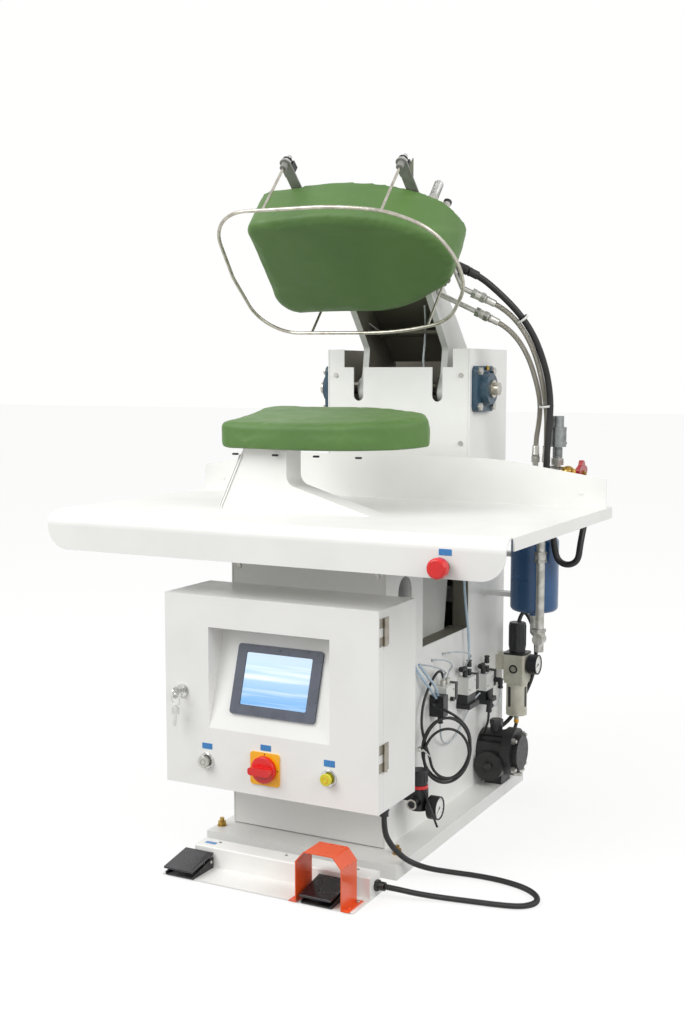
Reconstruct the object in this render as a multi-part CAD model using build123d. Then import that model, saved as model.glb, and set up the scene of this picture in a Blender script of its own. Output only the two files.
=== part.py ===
from build123d import *
import os
from math import cos, radians, sin, sqrt, tan

# Waistband press. Millimetres. X to the viewer's right, Y to the rear, Z up from the floor.
# The origin lies on the floor, in the middle of the column.

# Floor tray
TRAY_LEFT = -211
TRAY_RIGHT = 250
TRAY_HALF_DEPTH = 393
TRAY_HEIGHT = 30
TRAY_SHEET = 4
TRAY_CORNER = 32
RAIL_WIDTH = 50

# Column and tower
COLUMN_HALF = 187.4
COLUMN_FRONT = -317
COLUMN_REAR = 371
TOWER_FRONT = 131
TOWER_TOP = 1085
PLATE = 4
PANEL = 3
PANEL_GAP = 0.5
FLANGE = 36
SILL_DEPTH = 48
WINDOW_FRONT = -131
WINDOW_SILL = 428
WINDOW_TOP = 690
ARCH_CENTRE = -224
ARCH_HALF = 34
ARCH_TOP = 599
ARCH_BOTTOM = 500
TUBE_HOLES = ((-144, 391), (-79, 389), (-18, 392))
TUBE_HOLE_RADIUS = 4
NOTCH_HALF = 143.5
NOTCH_BOTTOM = 1042
SLOT_WIDTH = 27
SLOT_BOTTOM = 961
TOWER_PANEL_BOTTOM = 690
REAR_PANEL_BOTTOM = 70
REAR_PANEL_TOP = 1080
SCREW_RADIUS = 3
SCREW_HEAD_RADIUS = 5.5
SCREW_HEAD = 3
SCREW_INSET = 18

# Vacuum duct inside the column
DUCT_HALF = 146
DUCT_FRONT = -290
DUCT_REAR_LOW = 85
DUCT_REAR_HIGH = 126
DUCT_SHEET = 3

# Work table
TABLE_TOP = 732
TABLE_SHEET = 3
TABLE_HALF = 532
TABLE_FRONT = -524
TABLE_REAR = 127
LIP_HALF = TABLE_HALF - 7
LIP_BOTTOM = 651
LIP_BEND = 28
LIP_CORNER = 50
SIDE_FLANGE = 25
SIDE_FLANGE_FRONT = -499
WALL_FRONT = 95
WALL_HALF = TABLE_HALF - 5
WALL_TOP = 833.5
WALL_END_TOP = 795.5
WALL_SHOULDER = 269
WALL_SHOULDER_RADIUS = 750

# Main shaft and flanged bearings
SHAFT_Y = 195
SHAFT_Z = 991
SHAFT_RADIUS = 15
SHAFT_HALF = 236
OPEN_ANGLE = 49
BEARING_FLANGE = 14
BEARING_BOSS_RADIUS = 40
BEARING_DEPTH = 31
BEARING_BOLT_PITCH = 83
BEARING_EDGE = 12.5
BEARING_SIDE = BEARING_BOLT_PITCH + 2 * BEARING_EDGE
BEARING_BORE = 21
RUNNING = 0.05
FIT_GAP = 0.02
BOLT_RADIUS = 5
BOLT_HOLE = 5.5
BOLT_HEAD_FLATS = 17
BOLT_HEAD = 7
NUT_HEIGHT = 8
WASHER_RADIUS = 10
WASHER = 2

# Pressing plane when closed, and the outline that both pads share
PRESS_Y = -250
PRESS_Z = 935
PRESS_TILT = 7
PAD_GAP = 5
OUTLINE = ((-212, -87), (-19, -101), (104, -85), (217, -34), (237, 37), (204, 104), (70, 180), (-235, 178))
OUTLINE_RADII = (29, 360, 400, 119, 34, 74, 282, 47)
PAD_GROW = 11

# Lower buck
LOWER_THICK = 62
LOWER_BOTTOM_Z = 865
LOWER_BOTTOM_Y = -345
LOWER_BOTTOM_TILT = 3.5
BUCK_PLATE = 16
BUCK_PLATE_INSET = 12
SOFT_GAP = 0.3

# Pedestal of the lower buck
PEDESTAL_FRONT = -300
PEDESTAL_DEPTH = 64
PEDESTAL_SHEET = 4
PEDESTAL_LEFT = -233
PEDESTAL_TOP_LEFT = -166
PEDESTAL_TOP_RIGHT = -59
PEDESTAL_BEND_Z = 792
PEDESTAL_TOE = 140
PEDESTAL_BEND_RADIUS = 26

# Upper head
HEAD_THICK = 106
HEAD_WALL = 10
HEAD_FACE = 26
HEAD_PLATE = 30

# Head arm
ARM_CENTRE = 104
ARM_PLATE = 16
ARM_FRONT = -262
ARM_HUB = 43
ARM_TOP = 135
ARM_WEB = 8
MOUNT_PLATE = 10
TAIL_RADIUS = 110
TAIL_PIN = 8
TAIL_START = -15

# Drive cylinder
BARREL_RADIUS = 32
BARREL_BORE = 26
ROD_RADIUS = 10
PIVOT_Y = 292
PIVOT_Z = 520
BARREL_BOTTOM = 545
BARREL_TOP = 800
PIVOT_RADIUS = 10
EYE_SLACK = 7.5
EYE_CLEAR = 1.8

# Safety ring
RING_W = -40
RING_ROD = 4
RING_POINTS = (
    (-255, -168),
    (56, -166),
    (167, -144),
    (250, -90),
    (278, 1),
    (270, 79),
    (204, 177),
    (73, 211),
    (-280, 206),
    (-284, 23),
)
RING_RADII = (108, 740, 200, 130, 195, 145, 117, 630, 98, 53)
STRUTS = ((-120, -167.1), (152, -145.4), (-155, 207.8), (146, 191.9))
STRUT_RADIUS = 3
STRUT_TOP = 128
BUSH_RADIUS = 8
BUSH_BOTTOM = 92
BUSH_TOP = 118
BRACKET_SHEET = 3
SWITCH_HEIGHT = 26
COLLAR = 4

# Fittings on the back of the head, on the pressing plane's own axes
NIPPLE_U, NIPPLE_V = 185.5, -35
NIPPLE_HIGH = 62
PLUG_U, PLUG_V = 204, -5
PLUG_HIGH = 30
PIPE_THIN = 6
UNION_RADIUS = 10
UNION_LENGTH = 34
HEAD_PIPES = (
    ((168, 80, 114), (176, 178, 113), (184, 214, 100), (232, 247, 96)),
    ((120, 130, 113), (120, 202, 113), (124, 226, 96), (236, 285, 74)),
)
HEAD_HOSE_PIPE = ((168, 106, 126), (178, 170, 126), (200, 185, 124.5))

# Control box
BOX_LEFT = -245
BOX_RIGHT = 255
BOX_FRONT = -490
BOX_BOTTOM = 166.5
BOX_TOP = 572
BOX_SHEET = 2
DOOR_DEPTH = 22
DOOR_GAP = 0.5
RECESS_LEFT = -137
RECESS_RIGHT = 147
RECESS_BOTTOM = 294
RECESS_TOP = 506.5
RECESS_DEPTH = 60
RECESS_LEDGE = 16
SCREEN_X = 9
SCREEN_Z = 398
SCREEN_WIDTH = 200
SCREEN_HEIGHT = 146
SCREEN_BEZEL = 6
BOX_LIP = 12
PANEL_HOLE = 11
BUTTON_BEZEL = 15
BUTTON_RADIUS = 9
BUTTON_STAND = 12
LOCK_PLUG = 6
START_X, START_Z = -143, 223
STOP_X, STOP_Z = 146, 227
SWITCH_X, SWITCH_Z = -1, 225
SWITCH_SIDE = 68
SWITCH_KNOB = 28
LOCK_X, LOCK_Z = -202, 366.5
HINGE_Z = (250, 501)
HINGE_HEIGHT = 55
HINGE_OUT = 4.5
HINGE_PIN = 2
HINGE_KNUCKLE = 4.2

# Emergency stop
ESTOP_X, ESTOP_Z = LIP_HALF - 124, LIP_BOTTOM + 22
ESTOP_RADIUS = 20
ESTOP_TRAVEL = 4
ESTOP_HOLE = 11
ESTOP_SHAFT = 6

# Foot unit
FOOT_LEFT = -195
FOOT_RIGHT = 248
FOOT_FRONT = -584
FOOT_REAR = -447
FOOT_PLATE = 3
COVER_LEFT = -164
COVER_RIGHT = 246
COVER_FRONT = -508
COVER_REAR = -462
COVER_TOP = 45
COVER_SHEET = 2
PEDALS = (-150, 169)
PEDAL_HALF = 34
PEDAL_FRONT = -592
PEDAL_REAR = -511
PEDAL_PIVOT_Y = -520
PEDAL_PIVOT_Z = 24
PEDAL_PIN = 2.5
GUARD_LEFT = 124
GUARD_RIGHT = 226
GUARD_SHEET = 2
GUARD_SHOULDER = 86
GUARD_TOP = 108
GUARD_CHAMFER = 19
GUARD_FRONT = -590
GUARD_REAR = -525
GUARD_FOOT = 15

# Hoses and conduit, with the points between their two ends
CONDUIT_RADIUS = 6
CONDUIT_ROUTE = (
    (240, -432, 118),
    (243, -418, 90),
    (252, -394, 60),
    (268, -368, 34),
    (296, -340, 16),
    (338, -317, 8),
    (392, -307, 6.8),
    (448, -308, 6.5),
    (500, -322, 6.5),
    (534, -349, 6.5),
    (546, -382, 6.5),
    (530, -411, 6.5),
    (495, -424, 6.5),
    (436, -434, 6.5),
    (372, -448, 8),
    (326, -468, 15),
    (296, -481, 22),
)
HEAD_HOSE_ROUTE = (
    (262, 118, 1210),
    (299, 146, 1166),
    (325, 170, 1119),
    (341, 188, 1070),
    (352, 204, 1016),
    (358, 210, 954),
    (354, 206, 886),
    (352, 201, 816),
    (356, 203, 752),
    (366, 201, 692),
    (374, 200, 632),
    (381, 200, 599),
    (392, 200, 587),
    (407.5, 200, 583),
    (423, 201, 587.5),
    (433.5, 202, 600),
    (435.5, 206, 630),
    (437, 222, 666),
    (438, 240, 702),
    (438, 240, 738),
)
BRAIDED_ROUTE_RIGHT = (
    (294, 141, 1150),
    (318, 164, 1106),
    (331, 188, 1056),
    (339, 208, 998),
    (343, 226, 936),
)
BRAIDED_ROUTE_LEFT = (
    (296, 154, 1106),
    (314, 178, 1062),
    (324, 200, 1012),
    (329, 220, 960),
    (321, 236, 912),
)

HEAD_HOSE_RADIUS = 7.5
STEAM_HOSE_RADIUS = 6
GLAND_BOX = (240, -432)
GLAND_FOOT = (-481, 22)
GLAND_RADIUS = 10
GLAND_LENGTH = 20
GLAND_THREAD = 8

# Filter regulator on the right side
FILTER_X, FILTER_Y = 236, 343
FILTER_BODY = (263, 330)
FILTER_HALF = 28
BOWL_RADIUS = 26
BOWL_BOTTOM = 174
FILTER_KNOB_RADIUS = 21
FILTER_KNOB = (343, 409)
GAUGE_RADIUS = 25
GAUGE_DEPTH = 22
AIR_INLET_BORE = 9
AIR_INLET_DEPTH = 8

# Line regulator low on the right side
LINE_X, LINE_Y = 232, -244
LINE_BODY = (104, 150)
LINE_RADIUS = 20
LINE_KNOB_TOP = 190

# Condensate tank and steam fittings
TANK_X, TANK_Y = 314, 240
TANK_RADIUS = 57
TANK_BOTTOM = 462
TANK_TOP = 640
PIPE_RADIUS = 10
MANIFOLD_Z = 795
MANIFOLD_RADIUS = 12
MANIFOLD_Y = 240
GATE_X = 392
GATE_RADIUS = 17
WHEEL_RADIUS = 30
WHEEL_X = 424
ELBOW_DROP = 46
ANGLE_X = 366
ANGLE_TOP = 928
DROP_X, DROP_Y = 356, 160
DROP_BOTTOM = 402
DROP_FEED_X = 276
INLET_BORE = 9.3
INLET_LENGTH = 16
INLET_X = 250
INLET_Y = 285
OUTLET_BORE = 7
STEAM_NIPPLES = (338, 312)
NIPPLE_TOP = 832

# Steam trap low on the right side
TRAP_X, TRAP_Y, TRAP_Z = 196, 240, 108
TRAP_RADIUS = 50
TRAP_LENGTH = 56

# Control valves and the coil of tube
COIL_X, COIL_Y, COIL_Z = 250, -139, 208
COIL_HALF_WIDE = 60
COIL_HALF_HIGH = 74
COIL_ROD = 8
VALVES = ((-40, 306, True), (91, 300, False), (206, 285, False))
VALVE_WIDE = 30


def block(x0, x1, y0, y1, z0, z1):
    """A rectangular block between two corners."""
    return Pos((x0 + x1) / 2, (y0 + y1) / 2, (z0 + z1) / 2) * Box(x1 - x0, y1 - y0, z1 - z0)


def round_x(x0, x1, y, z, radius):
    """A round bar along X."""
    return Pos((x0 + x1) / 2, y, z) * Rot(0, 90, 0) * Cylinder(radius, x1 - x0)


def round_y(y0, y1, x, z, radius):
    """A round bar along Y."""
    return Pos(x, (y0 + y1) / 2, z) * Rot(90, 0, 0) * Cylinder(radius, y1 - y0)


def round_z(z0, z1, x, y, radius):
    """A round bar along Z."""
    return Pos(x, y, (z0 + z1) / 2) * Cylinder(radius, z1 - z0)


def hex_x(x0, x1, y, z, flats):
    """A hexagonal bar along X, given its width across flats."""
    face = Plane(origin=(x0, y, z), x_dir=(0, 1, 0), z_dir=(1, 0, 0)) * RegularPolygon(flats / sqrt(3), 6)
    return extrude(face, x1 - x0)


def hex_z(z0, z1, x, y, flats):
    """A hexagonal bar along Z, given its width across flats."""
    return extrude(Pos(x, y, z0) * RegularPolygon(flats / sqrt(3), 6), z1 - z0)


def side_shape(points, x0, x1, radii=0):
    """An outline of (y, z) points pushed along X."""
    face = make_face(Plane.YZ * FilletPolyline(*points, radius=radii, close=True))
    return Pos(x0, 0, 0) * extrude(face, x1 - x0, dir=(1, 0, 0))


def front_shape(points, y0, y1, radii=0):
    """An outline of (x, z) points pushed along Y."""
    face = make_face(Plane.XZ * FilletPolyline(*points, radius=radii, close=True))
    return Pos(0, y0, 0) * extrude(face, y1 - y0, dir=(0, 1, 0))


def plan_shape(points, z0, z1, radii=0):
    """An outline of (x, y) points pushed along Z."""
    face = make_face(FilletPolyline(*points, radius=radii, close=True))
    return Pos(0, 0, z0) * extrude(face, z1 - z0, dir=(0, 0, 1))


def bar_between(start, end, radius):
    """A round bar from one point to another."""
    start, end = Vector(*start), Vector(*end)
    way = end - start
    return extrude(Plane(origin=start, z_dir=way) * Circle(radius), way.length)


def pipe_run(points, radius):
    """Straight round bars through a list of points, with ball corners."""
    run = bar_between(points[0], points[1], radius)
    for start, end in zip(points[1:], points[2:]):
        run = run + Pos(*start) * Sphere(radius) + bar_between(start, end, radius)
    return run


def bent_tube(points, radius, share=0.45):
    """A hose: straight runs joined by arcs as large as the two runs allow."""
    spots = [Vector(*point) for point in points]
    radii = []
    for before, here, after in zip(spots, spots[1:], spots[2:]):
        first, second = here - before, after - here
        turn = radians(first.get_angle(second))
        radii.append(share * min(first.length, second.length) / tan(turn / 2))
    path = FilletPolyline(*spots, radius=radii)
    ring = Plane(origin=path @ 0, z_dir=path % 0) * Circle(radius)
    print("tube", round(path.length), "long, bends", [round(bend) for bend in radii])
    return sweep(ring, path)


def mirror_x(shape):
    """The same shape on the other side of the middle plane."""
    return mirror(shape, about=Plane.YZ)


def press_frame(opened):
    """Frame of the pressing plane: X across, Y along the face to the rear, Z away from the lower pad."""
    angle = radians(PRESS_TILT)
    closed = Plane(origin=(0, PRESS_Y, PRESS_Z), x_dir=(1, 0, 0), z_dir=(0, -sin(angle), cos(angle)))
    swing = Pos(0, SHAFT_Y, SHAFT_Z) * Rot(-opened, 0, 0) * Pos(0, -SHAFT_Y, -SHAFT_Z)
    return swing * closed.location


def open_head(shape):
    """Carries a shape drawn on the pressing plane to the open head."""
    return press_frame(OPEN_ANGLE) * shape


def open_arm(shape):
    """Swings a shape drawn in the closed position to the open one."""
    return Pos(0, SHAFT_Y, SHAFT_Z) * Rot(-OPEN_ANGLE, 0, 0) * Pos(0, -SHAFT_Y, -SHAFT_Z) * shape


def pad_outline(w0, w1, grow=0.0):
    """The pad outline pushed along the pressing plane's own Z, grown or shrunk all round."""
    face = make_face(FilletPolyline(*OUTLINE, radius=OUTLINE_RADII, close=True))
    if grow:
        face = offset(face, grow)
    return Pos(0, 0, w0) * extrude(face, w1 - w0, dir=(0, 0, 1))


def floor_tray():
    """Folded tray with three floor rails under it."""
    corners = (
        (TRAY_LEFT, -TRAY_HALF_DEPTH),
        (TRAY_RIGHT, -TRAY_HALF_DEPTH),
        (TRAY_RIGHT, TRAY_HALF_DEPTH - TRAY_CORNER),
        (TRAY_RIGHT - TRAY_CORNER, TRAY_HALF_DEPTH),
        (TRAY_LEFT, TRAY_HALF_DEPTH),
    )
    tray = plan_shape(corners, 0, TRAY_HEIGHT, 3)
    inner = offset_plan(corners, -TRAY_SHEET, 0, TRAY_HEIGHT - TRAY_SHEET)
    tray = tray - inner
    for x in (TRAY_LEFT + 60, 0, TRAY_RIGHT - 60):
        rail = block(
            x - RAIL_WIDTH / 2,
            x + RAIL_WIDTH / 2,
            -TRAY_HALF_DEPTH + TRAY_SHEET,
            TRAY_HALF_DEPTH - TRAY_SHEET - TRAY_CORNER,
            0,
            TRAY_HEIGHT - TRAY_SHEET,
        )
        tray = tray + rail
    for x, y in tray_bolts():
        tray = tray - round_z(-1, TRAY_HEIGHT + 1, x, y, BOLT_HOLE)
    return tray


def offset_plan(points, grow, z0, z1):
    """A plan outline grown or shrunk, pushed along Z."""
    face = offset(make_face(Polyline(*points, close=True)), grow, kind=Kind.INTERSECTION)
    return Pos(0, 0, z0) * extrude(face, z1 - z0, dir=(0, 0, 1))


def tray_bolts():
    """Places of the floor bolts."""
    near = WASHER_RADIUS + 3
    right = TRAY_RIGHT - 30
    left = TRAY_LEFT + near
    return ((right, -327), (right, 340), (left, -350), (left, 350))


def bearing_bolt_spots():
    """Places of the four bolts of one bearing, as (y, z)."""
    half = BEARING_BOLT_PITCH / 2
    return [(SHAFT_Y + i * half, SHAFT_Z + j * half) for i in (-1, 1) for j in (-1, 1)]


def hex_bolts():
    """Floor bolts and bearing bolts, all of one thread."""
    bolts = []
    for x, y in tray_bolts():
        bolt = round_z(4, TRAY_HEIGHT, x, y, BOLT_RADIUS)
        bolt = bolt + round_z(TRAY_HEIGHT, TRAY_HEIGHT + WASHER, x, y, WASHER_RADIUS)
        bolt = bolt + hex_z(TRAY_HEIGHT + WASHER, TRAY_HEIGHT + WASHER + NUT_HEIGHT, x, y, BOLT_HEAD_FLATS)
        bolts.append(bolt + round_z(TRAY_HEIGHT, TRAY_HEIGHT + 2 * NUT_HEIGHT + WASHER, x, y, BOLT_RADIUS))
    outer = COLUMN_HALF + BEARING_FLANGE
    inner = COLUMN_HALF - PLATE
    for y, z in bearing_bolt_spots():
        bolt = round_x(inner - NUT_HEIGHT, outer + BOLT_HEAD, y, z, BOLT_RADIUS)
        bolt = bolt + hex_x(outer, outer + BOLT_HEAD, y, z, BOLT_HEAD_FLATS)
        bolt = bolt + hex_x(inner - NUT_HEIGHT, inner, y, z, BOLT_HEAD_FLATS)
        bolts += [bolt, mirror_x(bolt)]
    return bolts


def front_screw_spots():
    """Screws of the lower front panel, as (x, z)."""
    return [(i * (COLUMN_HALF - SCREW_INSET - 2), z) for i in (-1, 1) for z in (110, 610)]


def tower_screw_spots():
    """Screws of the tower front panel, as (x, z)."""
    return [(i * 165, z) for i in (-1, 1) for z in (864, 1023)]


def rear_screw_spots():
    """Screws of the rear panel, as (x, z)."""
    heights = (REAR_PANEL_BOTTOM + 25, (REAR_PANEL_BOTTOM + REAR_PANEL_TOP) / 2, REAR_PANEL_TOP - 25)
    return [(i * (COLUMN_HALF - SCREW_INSET - 2), z) for i in (-1, 1) for z in heights]


def panel_screws():
    """Button-head screws of the three sheet panels."""
    screws = []
    for x, z in front_screw_spots():
        shank = round_y(COLUMN_FRONT, COLUMN_FRONT + PANEL + PLATE, x, z, SCREW_RADIUS)
        screws.append(shank + round_y(COLUMN_FRONT - SCREW_HEAD, COLUMN_FRONT, x, z, SCREW_HEAD_RADIUS))
    for x, z in tower_screw_spots():
        shank = round_y(TOWER_FRONT, TOWER_FRONT + PANEL + PLATE, x, z, SCREW_RADIUS)
        screws.append(shank + round_y(TOWER_FRONT - SCREW_HEAD, TOWER_FRONT, x, z, SCREW_HEAD_RADIUS))
    for x, z in rear_screw_spots():
        shank = round_y(COLUMN_REAR - PANEL - PLATE, COLUMN_REAR, x, z, SCREW_RADIUS)
        screws.append(shank + round_y(COLUMN_REAR, COLUMN_REAR + SCREW_HEAD, x, z, SCREW_HEAD_RADIUS))
    return screws


def screw_holes(spots, y0, y1):
    """Clearance holes for a list of screws along Y."""
    return [round_y(y0, y1, x, z, SCREW_RADIUS + 0.2) for x, z in spots]


def side_plate_left():
    """Left side sheet of the column and tower, with its folded flanges."""
    outer = COLUMN_HALF
    inner = outer - PLATE
    column_top = TABLE_TOP - TABLE_SHEET
    outline = (
        (COLUMN_FRONT, TRAY_HEIGHT),
        (COLUMN_REAR, TRAY_HEIGHT),
        (COLUMN_REAR, TOWER_TOP),
        (TOWER_FRONT, TOWER_TOP),
        (TOWER_FRONT, column_top),
        (COLUMN_FRONT, column_top),
    )
    plate = side_shape(outline, inner, outer)
    front = COLUMN_FRONT + PANEL
    plate = plate + block(outer - FLANGE, outer, front, front + PLATE, TRAY_HEIGHT, column_top)
    jamb = TOWER_FRONT + PANEL
    plate = plate + block(outer - FLANGE - PLATE, outer, jamb, jamb + PLATE, WINDOW_SILL, TOWER_TOP)
    rear = COLUMN_REAR - PANEL - PLATE
    plate = plate + block(outer - FLANGE, outer, rear, rear + PLATE, TRAY_HEIGHT, TOWER_TOP)
    sill = block(outer - SILL_DEPTH, outer, WINDOW_FRONT, jamb + PLATE, WINDOW_SILL - PLATE, WINDOW_SILL)
    plate = plate + sill
    plate = plate + block(outer - FLANGE, outer, COLUMN_FRONT + 40, COLUMN_REAR - 40, TRAY_HEIGHT, TRAY_HEIGHT + PLATE)
    arch = block(inner - 1, outer + 1, ARCH_CENTRE - ARCH_HALF, ARCH_CENTRE + ARCH_HALF, ARCH_BOTTOM, ARCH_TOP - ARCH_HALF)
    arch = arch + round_x(inner - 1, outer + 1, ARCH_CENTRE, ARCH_TOP - ARCH_HALF, ARCH_HALF)
    plate = plate - arch
    plate = plate - round_x(inner - 1, outer + 1, SHAFT_Y, SHAFT_Z, BEARING_BORE + 9)
    for y, z in bearing_bolt_spots():
        plate = plate - round_x(inner - 1, outer + 1, y, z, BOLT_HOLE)
    for hole in screw_holes(front_screw_spots(), front - 1, front + PLATE + 1):
        plate = plate - hole
    for hole in screw_holes(tower_screw_spots(), jamb - 1, jamb + PLATE + 1):
        plate = plate - hole
    for hole in screw_holes(rear_screw_spots(), rear - 1, rear + PLATE + 1):
        plate = plate - hole
    return mirror_x(plate)


def side_plate_right():
    """Right side sheet: as the left one, with the large service window and the tube holes."""
    plate = mirror_x(side_plate_left())
    inner = COLUMN_HALF - PLATE
    jamb = TOWER_FRONT + PANEL
    plate = plate - block(inner - 1, COLUMN_HALF + 1, WINDOW_FRONT, jamb, WINDOW_SILL, WINDOW_TOP)
    for y, z in TUBE_HOLES:
        plate = plate - round_x(inner - 1, COLUMN_HALF + 1, y, z, TUBE_HOLE_RADIUS)
    return plate


def panel_half():
    """Half width of the sheet panels between the side plates."""
    return COLUMN_HALF - PLATE - PANEL_GAP


def front_panel():
    """Lower front cover of the column."""
    half = panel_half()
    panel = block(-half, half, COLUMN_FRONT, COLUMN_FRONT + PANEL, TRAY_HEIGHT + 2, TABLE_TOP - TABLE_SHEET - 1)
    for hole in screw_holes(front_screw_spots(), COLUMN_FRONT - 1, COLUMN_FRONT + PANEL + 1):
        panel = panel - hole
    return panel


def tower_front_panel():
    """Front cover of the tower, notched for the arm and slotted for its two plates."""
    half = panel_half()
    panel = block(-half, half, TOWER_FRONT, TOWER_FRONT + PANEL, TOWER_PANEL_BOTTOM, TOWER_TOP)
    rear = TOWER_FRONT + PANEL + 1
    panel = panel - block(-NOTCH_HALF, NOTCH_HALF, TOWER_FRONT - 1, rear, NOTCH_BOTTOM, TOWER_TOP + 1)
    for x in (-ARM_CENTRE, ARM_CENTRE):
        end = SLOT_BOTTOM + SLOT_WIDTH / 2
        panel = panel - block(x - SLOT_WIDTH / 2, x + SLOT_WIDTH / 2, TOWER_FRONT - 1, rear, end, NOTCH_BOTTOM + 1)
        panel = panel - round_y(TOWER_FRONT - 1, rear, x, end, SLOT_WIDTH / 2)
    for hole in screw_holes(tower_screw_spots(), TOWER_FRONT - 1, rear):
        panel = panel - hole
    return panel


def rear_panel():
    """Rear cover of the column with vent slots."""
    half = panel_half()
    panel = block(-half, half, COLUMN_REAR - PANEL, COLUMN_REAR, REAR_PANEL_BOTTOM, REAR_PANEL_TOP)
    for level in range(8):
        z = REAR_PANEL_BOTTOM + 120 + level * 22
        panel = panel - block(-70, 70, COLUMN_REAR - PANEL - 1, COLUMN_REAR + 1, z, z + 7)
    for hole in screw_holes(rear_screw_spots(), COLUMN_REAR - PANEL - 1, COLUMN_REAR + 1):
        panel = panel - hole
    return panel


def vacuum_duct():
    """Sheet duct inside the column, standing on the two sills."""
    low, high = WINDOW_SILL, WINDOW_TOP
    outline = ((DUCT_FRONT, low), (DUCT_REAR_LOW, low), (DUCT_REAR_HIGH, high), (DUCT_FRONT, high))
    duct = side_shape(outline, -DUCT_HALF, DUCT_HALF)
    sheet = DUCT_SHEET
    inner = (
        (DUCT_FRONT + sheet, low + sheet),
        (DUCT_REAR_LOW - sheet, low + sheet),
        (DUCT_REAR_HIGH - sheet, high + sheet),
        (DUCT_FRONT + sheet, high + sheet),
    )
    duct = duct - side_shape(inner, -DUCT_HALF + sheet, DUCT_HALF - sheet)
    return duct


def work_table():
    """Table sheet with a rolled front lip, side flanges and a back wall."""
    under = TABLE_TOP - TABLE_SHEET
    bend_y = TABLE_FRONT + LIP_BEND
    bend_z = TABLE_TOP - LIP_BEND
    table = block(-TABLE_HALF, TABLE_HALF, bend_y, TABLE_REAR, under, TABLE_TOP)
    bend = round_x(-LIP_HALF, LIP_HALF, bend_y, bend_z, LIP_BEND)
    bend = bend - round_x(-LIP_HALF - 1, LIP_HALF + 1, bend_y, bend_z, LIP_BEND - TABLE_SHEET)
    bend = bend & block(-LIP_HALF, LIP_HALF, TABLE_FRONT, bend_y, bend_z, TABLE_TOP)
    lip_corners = ((-LIP_HALF, bend_z), (LIP_HALF, bend_z), (LIP_HALF, LIP_BOTTOM), (-LIP_HALF, LIP_BOTTOM))
    lip = front_shape(lip_corners, TABLE_FRONT, TABLE_FRONT + TABLE_SHEET, (0, 0, LIP_CORNER, LIP_CORNER))
    lip = lip - round_y(TABLE_FRONT - 1, TABLE_FRONT + TABLE_SHEET + 1, ESTOP_X, ESTOP_Z, ESTOP_HOLE)
    table = table + bend + lip
    for x in (-TABLE_HALF, TABLE_HALF - TABLE_SHEET):
        table = table + block(x, x + TABLE_SHEET, SIDE_FLANGE_FRONT, TABLE_REAR, TABLE_TOP - SIDE_FLANGE, TABLE_TOP)
    wall_points = (
        (-WALL_HALF, under),
        (WALL_HALF, under),
        (WALL_HALF, WALL_END_TOP),
        (WALL_SHOULDER, WALL_TOP),
        (-WALL_SHOULDER, WALL_TOP),
        (-WALL_HALF, WALL_END_TOP),
    )
    radii = (0, 0, 3, WALL_SHOULDER_RADIUS, WALL_SHOULDER_RADIUS, 3)
    return table + front_shape(wall_points, WALL_FRONT, WALL_FRONT + TABLE_SHEET, radii)


def buck_floor():
    """Half space under the lower buck's underside, as a large block."""
    size = 900
    place = Pos(0, LOWER_BOTTOM_Y, LOWER_BOTTOM_Z) * Rot(LOWER_BOTTOM_TILT, 0, 0)
    return place * Pos(0, 0, -size / 2) * Box(size, size, size)


def lower_pad():
    """Closed pad round the lower buck plate."""
    pad = press_frame(0) * pad_outline(-PAD_GAP - LOWER_THICK - 20, -PAD_GAP)
    pad = pad - buck_floor()
    top_edges = pad.faces().sort_by(Axis.Z)[-1].edges()
    pad = fillet(top_edges, 10)
    return pad - buck_core(SOFT_GAP)


def buck_core(grow):
    """The plate inside the lower pad, grown by a gap where the pad is cut."""
    core = press_frame(0) * pad_outline(-150, 0, -BUCK_PLATE_INSET + grow)
    rise = BUCK_PLATE + grow
    core = core - Pos(0, 0, rise / cos(radians(LOWER_BOTTOM_TILT))) * slab_above()
    return core - buck_floor()


def slab_above():
    """Half space above the lower buck's underside plane, as a large block."""
    size = 900
    place = Pos(0, LOWER_BOTTOM_Y, LOWER_BOTTOM_Z) * Rot(LOWER_BOTTOM_TILT, 0, 0)
    return place * Pos(0, 0, size / 2) * Box(size, size, size)


def buck_pedestal():
    """Folded sheet bracket that carries the lower buck on its left."""
    sheet = PEDESTAL_SHEET
    top = LOWER_BOTTOM_Z + 40
    slope_left = (PEDESTAL_TOP_LEFT - PEDESTAL_LEFT) / (LOWER_BOTTOM_Z - TABLE_TOP)
    top_left = PEDESTAL_LEFT + slope_left * (top - TABLE_TOP)
    outline = (
        (PEDESTAL_LEFT, TABLE_TOP),
        (PEDESTAL_TOE, TABLE_TOP),
        (PEDESTAL_TOP_RIGHT, PEDESTAL_BEND_Z),
        (PEDESTAL_TOP_RIGHT, top),
        (top_left, top),
    )
    radii = (0, 0, PEDESTAL_BEND_RADIUS, 0, 0)
    front = PEDESTAL_FRONT
    body = front_shape(outline, front, front + PEDESTAL_DEPTH, radii)
    inner_right = PEDESTAL_TOP_RIGHT - sheet
    toe_in = PEDESTAL_TOE - 5 * sheet
    inner = (
        (PEDESTAL_LEFT + 2 * sheet, TABLE_TOP + sheet),
        (toe_in, TABLE_TOP + sheet),
        (inner_right, PEDESTAL_BEND_Z - sheet),
        (inner_right, top - 60),
        (top_left - slope_left * 60 + sheet, top - 60),
    )
    hollow = front_shape(inner, front + sheet, front + PEDESTAL_DEPTH + 1, (0, 0, PEDESTAL_BEND_RADIUS + sheet, 0, 0))
    body = body - hollow
    return body - slab_above()


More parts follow.
